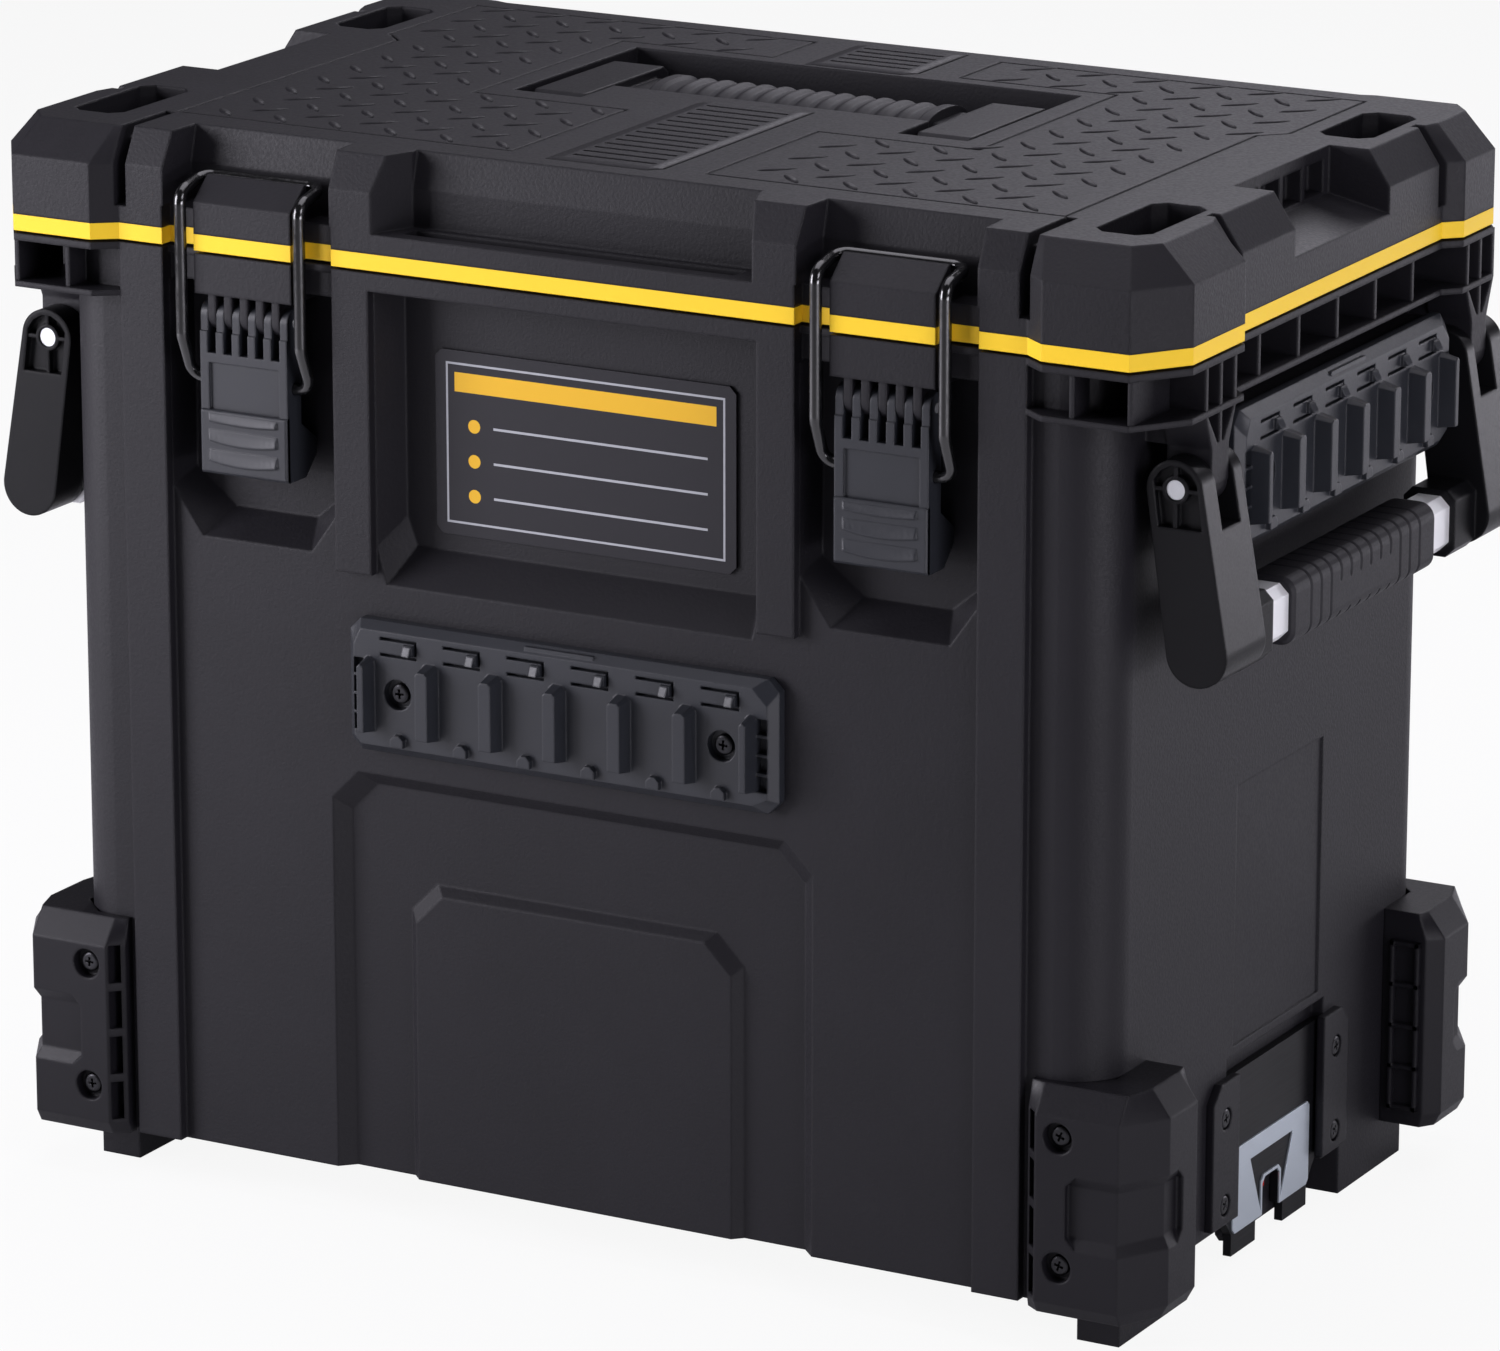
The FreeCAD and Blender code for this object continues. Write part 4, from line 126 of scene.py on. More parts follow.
@dataclass(frozen=True)
class Finish:
    """A real material and the way that its surface was made.

    Args:
        name: common name of the material.
        colour: sRGB hex of its base colour.
        roughness: mean roughness.
        relief: how the surface was made.
        grain: spacing of the relief in millimetres.
        depth: height of the relief in millimetres.
        metallic: 1 for a bare metal.
        ior: refractive index of a plastic, paint or rubber.
        mottle: share by which the colour drifts over a piece.
        along: direction of a hairline brush, as an axis number.
        edge: radius in millimetres at which its edges catch the light.
        shine: specular level, under 0.5 where a rough grain shades its own highlights.
        drift: distance in millimetres over which the colour drifts.
        rub: how far the roughness drifts each way.
        brush: how fast the grain changes along a hairline brush, as a share of how fast it does across it.
    """

    name: str
    colour: str
    roughness: float
    relief: Relief
    grain: float
    depth: float
    metallic: float = 0.0
    ior: float = 1.5
    mottle: float = 0.08
    along: int = 0
    edge: float = 0.6
    shine: float = 0.5
    drift: float = 55.0
    rub: float = 0.05
    brush: float = 0.02

    def coordinates(self, tree: bpy.types.NodeTree) -> bpy.types.NodeSocket:
        """Find positions on the piece, drawn out along the brush where there is one.

        Args:
            tree: the material's tree.

        Returns:
            the socket that gives the positions.
        """
        place = add_node(tree, "ShaderNodeTexCoord")
        stretch = [1.0, 1.0, 1.0]
        if self.relief is Relief.HAIRLINE:
            stretch[self.along] = self.brush
        scaled = add_node(tree, "ShaderNodeMapping", {"Vector": place.outputs["Object"], "Scale": stretch})
        return scaled.outputs["Vector"]

    def base_colour(self, tree: bpy.types.NodeTree, where: bpy.types.NodeSocket) -> bpy.types.NodeSocket:
        """Give the colour a slow drift of tone, as cooling leaves on a moulding.

        Args:
            tree: the material's tree.
            where: positions on the piece.

        Returns:
            the socket that gives the colour.
        """
        drift = add_node(tree, "ShaderNodeTexNoise",
                         {"Vector": where, "Scale": 1 / (self.drift * MM), "Detail": 3.0})
        ramp = add_node(tree, "ShaderNodeValToRGB", {"Fac": drift.outputs["Fac"]})
        stops = ((NOISE_LOW, 1 - self.mottle), (NOISE_HIGH, 1 + self.mottle))
        for stop, (position, share) in zip(ramp.color_ramp.elements, stops):
            stop.position = position
            stop.color = [min(1.0, level * share) for level in linear(self.colour)[:3]] + [1.0]
        return ramp.outputs["Color"]

    def build(self) -> bpy.types.Material:
        """Make the material once.

        Returns:
            the procedural material.
        """
        done = bpy.data.materials.get(self.name)
        if done:
            return done
        material = bpy.data.materials.new(self.name)
        material.use_nodes = True
        tree = material.node_tree
        tree.nodes.clear()
        where = self.coordinates(tree)
        grain = add_node(tree, "ShaderNodeTexNoise",
                         {"Vector": where, "Scale": 1 / (self.grain * MM), "Detail": 2.0, "Roughness": 0.55})
        rub = add_node(tree, "ShaderNodeMapRange",
                       {"Value": grain.outputs["Fac"], "From Min": NOISE_LOW, "From Max": NOISE_HIGH,
                        "To Min": self.roughness - self.rub, "To Max": self.roughness + self.rub})
        rounded = add_node(tree, "ShaderNodeBevel", {"Radius": self.edge * MM}, samples=4)
        bump = add_node(tree, "ShaderNodeBump",
                        {"Height": grain.outputs["Fac"], "Strength": 1.0, "Distance": self.depth * MM,
                         "Normal": rounded.outputs["Normal"]})
        shader = add_node(tree, "ShaderNodeBsdfPrincipled",
                          {"Base Color": self.base_colour(tree, where), "Roughness": rub.outputs["Result"],
                           "Normal": bump.outputs["Normal"], "Metallic": self.metallic,
                           "Specular IOR Level": self.shine})
        if not self.metallic:
            shader.inputs["IOR"].default_value = self.ior
        add_node(tree, "ShaderNodeOutputMaterial", {"Surface": shader.outputs["BSDF"]})
        return material


@dataclass(frozen=True)
class PrintedSheet(Finish):
    """A printed contents card: a dark ground, a fine border, a header strip and ruled rows with dots.

    Args:
        line_colour: sRGB hex of the border and the ruled lines.
        strip_colour: sRGB hex of the header strip and the dots.
        plate: lowest and highest corner of the plate, in millimetres.
        margin: width of the ground outside the border.
        rule: width of the border.
        inset: distance from the border to what it holds.
        strip: height of the header strip.
        rows: how many ruled rows there are.
        row_pitch: distance from one row to the next.
        row_start: height of the lowest row over the border.
        row_rule: width of a ruled line.
        dot: radius of the dot before each line.
        dot_set: distance from the border to a dot's middle.
    """

    line_colour: str = "#A9ABB0"
    strip_colour: str = "#E9B526"
    plate: tuple[tuple[float, ...], ...] = tuple(tuple(corner) for corner in box_mm("label_plate"))
    margin: float = 5.0
    rule: float = 0.9
    inset: float = 4.0
    strip: float = 8.0
    rows: int = 3
    row_pitch: float = 14.5
    row_start: float = 12.0
    row_rule: float = 1.0
    dot: float = 2.8
    dot_set: float = 13.0

    def patch(self, tree: bpy.types.NodeTree, where: bpy.types.NodeSocket, across: tuple[float, float],
              up: tuple[float, float]) -> bpy.types.NodeSocket:
        """Mark a box on the plate.

        Args:
            tree: the material's tree.
            where: positions on the plate.
            across: where the box starts and stops across the plate, in millimetres.
            up: heights of its lower and upper edges.

        Returns:
            1 inside the box and 0 outside it.
        """
        axes = add_node(tree, "ShaderNodeSeparateXYZ", {"Vector": where})
        marks = []
        for axis, (start, stop) in (("X", across), ("Z", up)):
            mark = add_node(tree, "ShaderNodeMath",
                            {0: axes.outputs[axis], 1: (start + stop) / 2 * MM, 2: (stop - start) / 2 * MM},
                            operation="COMPARE")
            marks.append(mark.outputs[0])
        return add_node(tree, "ShaderNodeMath", dict(enumerate(marks)), operation="MULTIPLY").outputs[0]

    def disc(self, tree: bpy.types.NodeTree, where: bpy.types.NodeSocket, x: float,
             z: float) -> bpy.types.NodeSocket:
        """Mark a dot on the plate.

        Args:
            tree: the material's tree.
            where: positions on the plate.
            x: place of its middle across the plate, in millimetres.
            z: height of its middle.

        Returns:
            1 inside the dot and 0 outside it.
        """
        flat = add_node(tree, "ShaderNodeVectorMath", {0: where, 1: (1.0, 0.0, 1.0)}, operation="MULTIPLY")
        away = add_node(tree, "ShaderNodeVectorMath", {0: flat.outputs["Vector"], 1: (x * MM, 0.0, z * MM)},
                        operation="DISTANCE")
        near = add_node(tree, "ShaderNodeMath", {0: away.outputs["Value"], 1: self.dot * MM},
                        operation="LESS_THAN")
        return near.outputs[0]

    def base_colour(self, tree: bpy.types.NodeTree, where: bpy.types.NodeSocket) -> bpy.types.NodeSocket:
        """Lay the inks over the ground.

        Args:
            tree: the material's tree.
            where: positions on the plate.

        Returns:
            the printed colour.
        """
        ground = super().base_colour(tree, where)
        (_, _, foot), (side, _, head) = self.plate
        half, low, high = side - self.margin, foot + self.margin, head - self.margin
        outer = self.patch(tree, where, (-half, half), (low, high))
        inner = self.patch(tree, where, (self.rule - half, half - self.rule),
                           (low + self.rule, high - self.rule))
        border = add_node(tree, "ShaderNodeMath", {0: outer, 1: inner}, operation="SUBTRACT").outputs[0]
        top = high - self.inset
        header = self.patch(tree, where, (self.inset - half, half - self.inset), (top - self.strip, top))
        layers = [(border, self.line_colour), (header, self.strip_colour)]
        for row in range(self.rows):
            level = low + self.row_start + row * self.row_pitch
            layers.append((self.disc(tree, where, self.dot_set - half, level), self.strip_colour))
            line = self.patch(tree, where, (2 * self.dot_set - self.inset - half, half - 2 * self.inset),
                              (level - self.row_rule / 2, level + self.row_rule / 2))
            layers.append((line, self.line_colour))
        for mask, code in layers:
            ink = add_node(tree, "ShaderNodeMix", {"Factor": mask, "A": ground, "B": linear(code)},
                           data_type="RGBA")
            ground = ink.outputs[2]
        return ground


# Glass-filled polypropylene from a spark-eroded tool: a soft broken sheen over near-black, pale on the
# worn-looking round edges. The real grain is about 0.3 mm and is drawn coarser so that it shows.
SHELL = Finish("polypropylene_sparked_black", "#1B1A1E", 0.5, Relief.SPARKED, 1.4, 0.09, ior=1.49,
               edge=1.6, shine=0.26)
# The same resin from a blasted tool in the guards: a little darker and smoother.
GUARD = Finish("polypropylene_satin_black", "#17161A", 0.42, Relief.SATIN, 1.1, 0.03, ior=1.49,
               edge=1.6, shine=0.24)
# Yellow ABS insert, satin: saturated, with hardly any highlight.
BAND = Finish("abs_satin_yellow", "#FFD32A", 0.5, Relief.SATIN, 1.0, 0.01, ior=1.53, mottle=0.02, shine=0.25)
# Nylon levers and rails: cooler and a little paler than the shell, with crisp ribs.
NYLON = Finish("nylon_satin_slate", "#25272C", 0.38, Relief.SATIN, 0.9, 0.02, ior=1.53, edge=1.0, shine=0.4)
# Acetal handle arms: dark, smooth, with a soft band of light along their round edges.
ARM = Finish("acetal_satin_black", "#101012", 0.36, Relief.SATIN, 1.0, 0.02, ior=1.48, edge=1.6, shine=0.17)
# Soft-touch elastomer on the grips: dull and broad in the highlight.
GRIP = Finish("elastomer_matt_black", "#1D1C20", 0.55, Relief.SPARKED, 1.0, 0.04, edge=0.9, shine=0.3)
# Cathodic dip coat on the bent wire: smooth, glossy black.
WIRE = Finish("dip_coated_wire_black", "#0C0C0D", 0.16, Relief.COATED, 3.0, 0.01, ior=1.52, shine=0.9)
# Black oxide on the screws: dark and half bright.
OXIDE = Finish("black_oxide_steel", "#3A3A3C", 0.35, Relief.COATED, 1.5, 0.01, metallic=1.0, edge=0.3)
# Anodised drawn aluminium tube: pale and brushed along its length; its oxide scatters part of the light.
TUBE = Finish("anodised_aluminium", "#F4F5F6", 0.36, Relief.HAIRLINE, 0.5, 0.004, metallic=0.3, mottle=0.03,
              along=1)
# Turned steel pins: bright ends with fine turning marks.
PIN = Finish("turned_steel", "#D2D4D6", 0.32, Relief.HAIRLINE, 0.4, 0.004, metallic=0.8, mottle=0.03,
             edge=0.4)
# Zinc-coated plate of the stack lock: cool grey, brushed sideways.
ZINC = Finish("brushed_zinc_plate", "#C9D2DA", 0.4, Relief.HAIRLINE, 0.5, 0.006, metallic=0.7, mottle=0.05,
              along=1, edge=0.3)
# Black brushed plate of the slider: dark, with fine streaks that catch the light.
BLACK_PLATE = Finish("brushed_black_plate", "#111113", 0.34, Relief.HAIRLINE, 0.6, 0.02, ior=1.6, along=1,
                     edge=0.3, shine=0.12)
# The shell's resin at the bottom of its narrow slots, with painted shade: drawn all but black, darker than
# the resin is, because hardly any light reaches there.
SLOT_PAINTED_SHADE = Finish("polypropylene_slot_painted_shade", "#060607", 0.8, Relief.SPARKED, 1.4, 0.02, ior=1.49, shine=0.05)
# Closed-cell rubber seal: the dullest black here.
SEAL = Finish("rubber_matt_black", "#0E0E0F", 0.7, Relief.SPARKED, 0.8, 0.02, ior=1.52)
# Red plastic flag behind the key slot: a small glossy spot.
FLAG = Finish("abs_gloss_red", "#C42A20", 0.25, Relief.COATED, 2.0, 0.005, ior=1.53, edge=0.2)
# Printed vinyl on the label plate: smooth, with crisp flat inks.
LABEL = PrintedSheet("printed_vinyl_dark", "#1F1E23", 0.42, Relief.SATIN, 0.8, 0.006, mottle=0.03, edge=0.3,
                     shine=0.3)


def dress(node: str, finish: Finish) -> None:
    """Give a carried-over piece its finish.

    Args:
        node: name of the piece.
        finish: what it is made of.
    """
    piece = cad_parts[node]
    material = finish.build()
    for place in range(len(piece.material_slots)):
        piece.material_slots[place].material = material
    LOG.info("dressed %s in %s", node, finish.name)


def new_piece(name: str, mesh: bmesh.types.BMesh, finish: Finish, body: str) -> bpy.types.Object:
    """Turn a finished mesh into a piece that rides on a body.

    Args:
        name: name of the piece.
        mesh: its geometry in metres; it is freed here.
        finish: what it is made of.
        body: the body that carries it.

    Returns:
        the new object.
    """
    data = bpy.data.meshes.new(name)
    bmesh.ops.recalc_face_normals(mesh, faces=mesh.faces)
    mesh.to_mesh(data)
    mesh.free()
    data.materials.append(finish.build())
    piece = bpy.data.objects.new(name, data)
    bpy.context.scene.collection.objects.link(piece)
    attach(piece, body)
    LOG.info("built %s on %s", name, body)
    return piece


def loft(mesh: bmesh.types.BMesh, rings: list[list[Vector]]) -> None:
    """Join rings of points into one closed skin.

    Args:
        mesh: the mesh that gets the skin.
        rings: closed rings with equal counts, in order; the first and the last are capped.
    """
    rows = [[mesh.verts.new(point) for point in ring] for ring in rings]
    count = len(rows[0])
    for low, high in zip(rows, rows[1:]):
        for i in range(count):
            follow = (i + 1) % count
            mesh.faces.new((low[i], low[follow], high[follow], high[i]))
    mesh.faces.new(list(reversed(rows[0])))
    mesh.faces.new(rows[-1])


def loose_boxes(piece: bpy.types.Object, reach: float) -> list[list[Vector]]:
    """Find the box of each separate solid of a piece.

    Args:
        piece: a carried-over piece that groups several like solids.
        reach: how far a point may lie from the rest of its own solid, in millimetres.

    Returns:
        the lowest and highest corner of each solid, in metres.
    """
    boxes: list[list[Vector]] = []
    for vertex in piece.data.vertices:
        point = vertex.co
        for low, high in boxes:
            if all(low[a] - reach * MM <= point[a] <= high[a] + reach * MM for a in range(3)):
                for axis in range(3):
                    low[axis] = min(low[axis], point[axis])
                    high[axis] = max(high[axis], point[axis])
                break
        else:
            boxes.append([point.copy(), point.copy()])
    return boxes


@dataclass
class Screws:
    """Pan-head screws with a cross recess, one group for each carried-over node.

    Args:
        node: the group of screws that these stand for.
        slot: material slot of the group; not used.
        reach: how far a point of a screw may lie from the rest of it, in millimetres.
        head: radius of a head.
        profile: share of that radius and height of each ring of a head, from its seat to its recess.
        steps: how many points a ring has.
        arm: reach of the recess along its four arms.
        arm_lean: half the angle that an arm takes up, in radians.
        waist: reach of the recess between two arms.
        deep: depth of the recess.
        floor_share: size of the recess's floor as a share of its mouth.
        spin: turn of a head at the origin, in radians.
        spin_rate: further turn for each millimetre across and up, so that no two recesses lie alike.
    """

    node: str
    slot: str = "screw_black"
    reach: float = 9.0
    head: float = 4.2
    profile: tuple[tuple[float, float], ...] = (
        (1.0, -2.6), (1.0, -0.9), (0.93, -0.4), (0.78, -0.08), (0.62, 0.0))
    steps: int = 24
    arm: float = 2.1
    arm_lean: float = 0.3
    waist: float = 0.825
    deep: float = 1.6
    floor_share: float = 0.55
    spin: float = 0.4
    spin_rate: float = 0.7

    def places(self) -> list[tuple[Vector, Vector]]:
        """Find where the screws sit.

        Returns:
            middle of each head's outer face, in millimetres, and the way that it faces.
        """
        found = []
        for low, high in loose_boxes(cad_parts[self.node], self.reach):
            middle = (low + high) / 2
            long = max(range(3), key=lambda axis: high[axis] - low[axis])
            facing = Vector((0, 0, 0))
            facing[long] = 1 if middle[long] > 0 else -1
            middle[long] = (high if facing[long] > 0 else low)[long]
            found.append((middle / MM, facing))
        return found

    def turns(self) -> list[float]:
        """Return the angle of each point of a ring, in radians."""
        return [math.tau * k / self.steps for k in range(self.steps)]

    def rings(self) -> list[list[Vector]]:
        """Turn a head that faces up, with its recess.

        Returns:
            rings from the seat over the head's edge to the floor of its recess.
        """
        rings = [[Vector((math.cos(turn) * share * self.head, math.sin(turn) * share * self.head, level))
                  for turn in self.turns()] for share, level in self.profile]
        quarter = math.pi / 2
        mouth = []
        for turn in self.turns():
            lean = abs(turn - round(turn / quarter) * quarter)
            reach = self.arm if lean < self.arm_lean else self.waist
            mouth.append(Vector((math.cos(turn) * reach, math.sin(turn) * reach, 0.0)))
        floor = [Vector((p.x * self.floor_share, p.y * self.floor_share, -self.deep)) for p in mouth]
        return rings + [mouth, floor]

    def build(self) -> None:
        """Make every screw of the group and let the group stand for its node."""
        mesh = bmesh.new()
        for place, facing in self.places():
            turn = facing.to_track_quat("Z", "Y").to_matrix().to_4x4()
            twist = Matrix.Rotation(self.spin + self.spin_rate * (place.z + place.x), 4, "Z")
            to_place = Matrix.Translation(place) @ turn @ twist
            loft(mesh, [[(to_place @ point) * MM for point in ring] for ring in self.rings()])
        piece = new_piece(f"{self.node}_turned", mesh, OXIDE, "box")
        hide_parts(self.node)


@dataclass
class Lid:
    """The lid with its band, seal, tread panels and grilles.

    Args:
        top: height of the lid's top in millimetres.
        pitch_x: distance from one tread bar to the next like it across the lid.
        pitch_y: the same distance from front to back.
        start_x: place of the first column of bars.
        start_y: place of the first row.
        columns: number of the first column and of the one past the last.
        rows: number of the first row and of the one past the last.
        bar_half: half the length of a bar.
        bar_wide: half its width.
        bar_high: its height.
        bar_steps: how many points its outline has.
        bar_point: how sharply its ends come to a point.
        bar_profile: share of its width and of its height at each ring, from its root to its crest.
        bar_keep: share of its length that its crest keeps.
        bar_reach: how far a bar's ends reach across and back, as a share of its half length.
        slot_half: half the length of a grille's slot.
        slot_wide: width of a slot.
        slot_floor: height of a slot's floor over the lid.
        field_rise: height of the field round the slots.
        field_root: how deep the field's edge reaches into the lid.
        field_rim: width of the field past the slots.
        field_fade: width over which the field runs out.
        front_grille: where the front grille's slots start and end, from front to back.
        front_slots: how many slots it has.
        rear_grille: where the rear grille's slots start and end.
        rear_slots: how many slots it has.
        border: outline of the right tread panel; the left one mirrors it.
    """

    top: float = CAD_BOX[1].z / MM
    pitch_x: float = 26.4
    pitch_y: float = 25.3
    start_x: float = -172.6
    start_y: float = -98.6
    columns: tuple[int, int] = (-2, 18)
    rows: tuple[int, int] = (-1, 11)
    bar_half: float = 8.6
    bar_wide: float = 2.1
    bar_high: float = 0.42
    bar_steps: int = 14
    bar_point: float = 1.25
    bar_profile: tuple[tuple[float, float], ...] = ((1.0, -0.2), (0.93, 0.3), (0.72, 0.75), (0.4, 1.0))
    bar_keep: float = 0.4
    bar_reach: float = 0.72
    slot_half: float = 19.0
    slot_wide: float = 2.0
    slot_floor: float = 0.04
    field_rise: float = 0.45
    field_root: float = 0.05
    field_rim: float = 1.5
    field_fade: float = 6.0
    front_grille: tuple[float, float] = (-118.6, -1.6)
    front_slots: int = 14
    rear_grille: tuple[float, float] = (97.0, 134.8)
    rear_slots: int = 5
    border: tuple[tuple[float, float], ...] = (
        (46.5, -121.0), (46.5, -24.0), (121.0, -21.0), (121.0, 93.0), (48.0, 98.0), (48.0, 140.0),
        (211.0, 140.0), (211.0, 66.0), (201.5, 55.0), (201.5, -121.0))

    def inside(self, x: float, y: float) -> bool:
        """Tell whether a point lies in the right or the left tread panel.

        Args:
            x: its place across the lid, in millimetres.
            y: its place from front to back.

        Returns:
            whether a line outwards from it crosses the border an odd number of times.
        """
        x = abs(x)
        hit = False
        for (x0, y0), (x1, y1) in zip(self.border, self.border[1:] + self.border[:1]):
            if (y0 > y) != (y1 > y) and x < x0 + (y - y0) * (x1 - x0) / (y1 - y0):
                hit = not hit
        return hit

    def bar(self, mesh: bmesh.types.BMesh, x: float, y: float, turn: float) -> None:
        """Raise one lens-shaped tread bar.

        Args:
            mesh: the mesh that gets it.
            x: place of its middle across the lid, in millimetres.
            y: place of its middle from front to back.
            turn: its turn about the upright, in radians.
        """
        outline = []
        for k in range(self.bar_steps):
            angle = math.tau * k / self.bar_steps
            bulge = math.copysign(abs(math.sin(angle)) ** self.bar_point, math.sin(angle))
            outline.append((math.cos(angle) * self.bar_half, bulge * self.bar_wide))
        to_place = Matrix.Translation((x, y, self.top)) @ Matrix.Rotation(turn, 4, "Z")
        rings = []
        for share, level in self.bar_profile:
            long = self.bar_keep + (1 - self.bar_keep) * share
            rings.append([(to_place @ Vector((along * long, across * share, level * self.bar_high))) * MM
                          for along, across in outline])
        loft(mesh, rings)

    def build_tread(self) -> None:
        """Raise the tread bars of both panels, alternate rows turned square to each other."""
        mesh = bmesh.new()
        reach = self.bar_half * self.bar_reach
        for column in range(*self.columns):
            for row in range(*self.rows):
                for shift, lean in ((0.0, 1), (0.5, -1)):
                    x = self.start_x + (column + shift) * self.pitch_x
                    y = self.start_y + (row + shift) * self.pitch_y
                    if all(self.inside(x + end * reach, y + end * lean * reach) for end in (-1, 1)):
                        self.bar(mesh, x, y, lean * math.pi / 4)
        piece = new_piece("lid_tread_bars", mesh, SHELL, "lid")
        for face in piece.data.polygons:
            face.use_smooth = True

    def build_grille(self, name: str, front: float, rear: float, slots: int) -> None:
        """Raise a low field with a row of slots that run across the lid.

        Args:
            name: name of the piece.
            front: where the row starts, in millimetres.
            rear: where the row ends.
            slots: how many slots the row has.
        """
        pitch = (rear - front) / slots
        ys = [front - self.field_rim - self.field_fade, front - self.field_rim]
        for k in range(slots):
            middle = front + (k + 0.5) * pitch
            ys += [middle - self.slot_wide / 2, middle + self.slot_wide / 2]
        ys += [rear + self.field_rim, rear + self.field_rim + self.field_fade]
        edge = self.slot_half + self.field_rim
        xs = [-edge - self.field_fade, -edge, -self.slot_half, self.slot_half, edge, edge + self.field_fade]
        last_x, last_y = len(xs) - 1, len(ys) - 1
        mesh = bmesh.new()
        points: dict[tuple[int, int, float], bmesh.types.BMVert] = {}

        def point(i: int, j: int, level: float) -> bmesh.types.BMVert:
            """Find a corner where two of the field's lines cross, made once for each level.

            Args:
                i: number of the line across the lid.
                j: number of the line from front to back.
                level: height over the lid, for a corner off the field's outer edge.

            Returns:
                the corner.
            """
            if i in (0, last_x) or j in (0, last_y):
                level = -self.field_root
            key = (i, j, level)
            if key not in points:
                points[key] = mesh.verts.new(Vector((xs[i], ys[j], self.top + level)) * MM)
            return points[key]

        for i in range(last_x):
            for j in range(last_y):
                is_slot = i == 2 and j % 2 == 0 and 0 < j < last_y - 1
                level = self.slot_floor if is_slot else self.field_rise
                ring = [(i, j), (i + 1, j), (i + 1, j + 1), (i, j + 1)]
                face = mesh.faces.new([point(a, b, level) for a, b in ring])
                if is_slot:
                    # A slot's floor takes the second material, near-black with painted shade.
                    face.material_index = 1
                    for (a, b), (c, d) in zip(ring, ring[1:] + ring[:1]):
                        mesh.faces.new((point(a, b, self.field_rise), point(c, d, self.field_rise),
                                        point(c, d, level), point(a, b, level)))
        rim = [(i, 0) for i in range(last_x)] + [(last_x, j) for j in range(last_y)]
        rim += [(i, last_y) for i in range(last_x, 0, -1)] + [(0, j) for j in range(last_y, 0, -1)]
        mesh.faces.new([point(i, j, -self.field_root) for i, j in rim])
        piece = new_piece(name, mesh, SHELL, "lid")
        # The second material paints the shade on the slot floors.
        piece.data.materials.append(SLOT_PAINTED_SHADE.build())

    def build_grilles(self) -> None:
        """Build the long grille before the handle and the short one behind it."""
        self.build_grille("lid_grille_front", *self.front_grille, self.front_slots)
        self.build_grille("lid_grille_rear", *self.rear_grille, self.rear_slots)

    def dress(self) -> None:
        """Finish the carried-over pieces of the lid."""
        dress("lid_shell", SHELL)
        dress("parting_band", BAND)
        dress("lid_seal", SEAL)


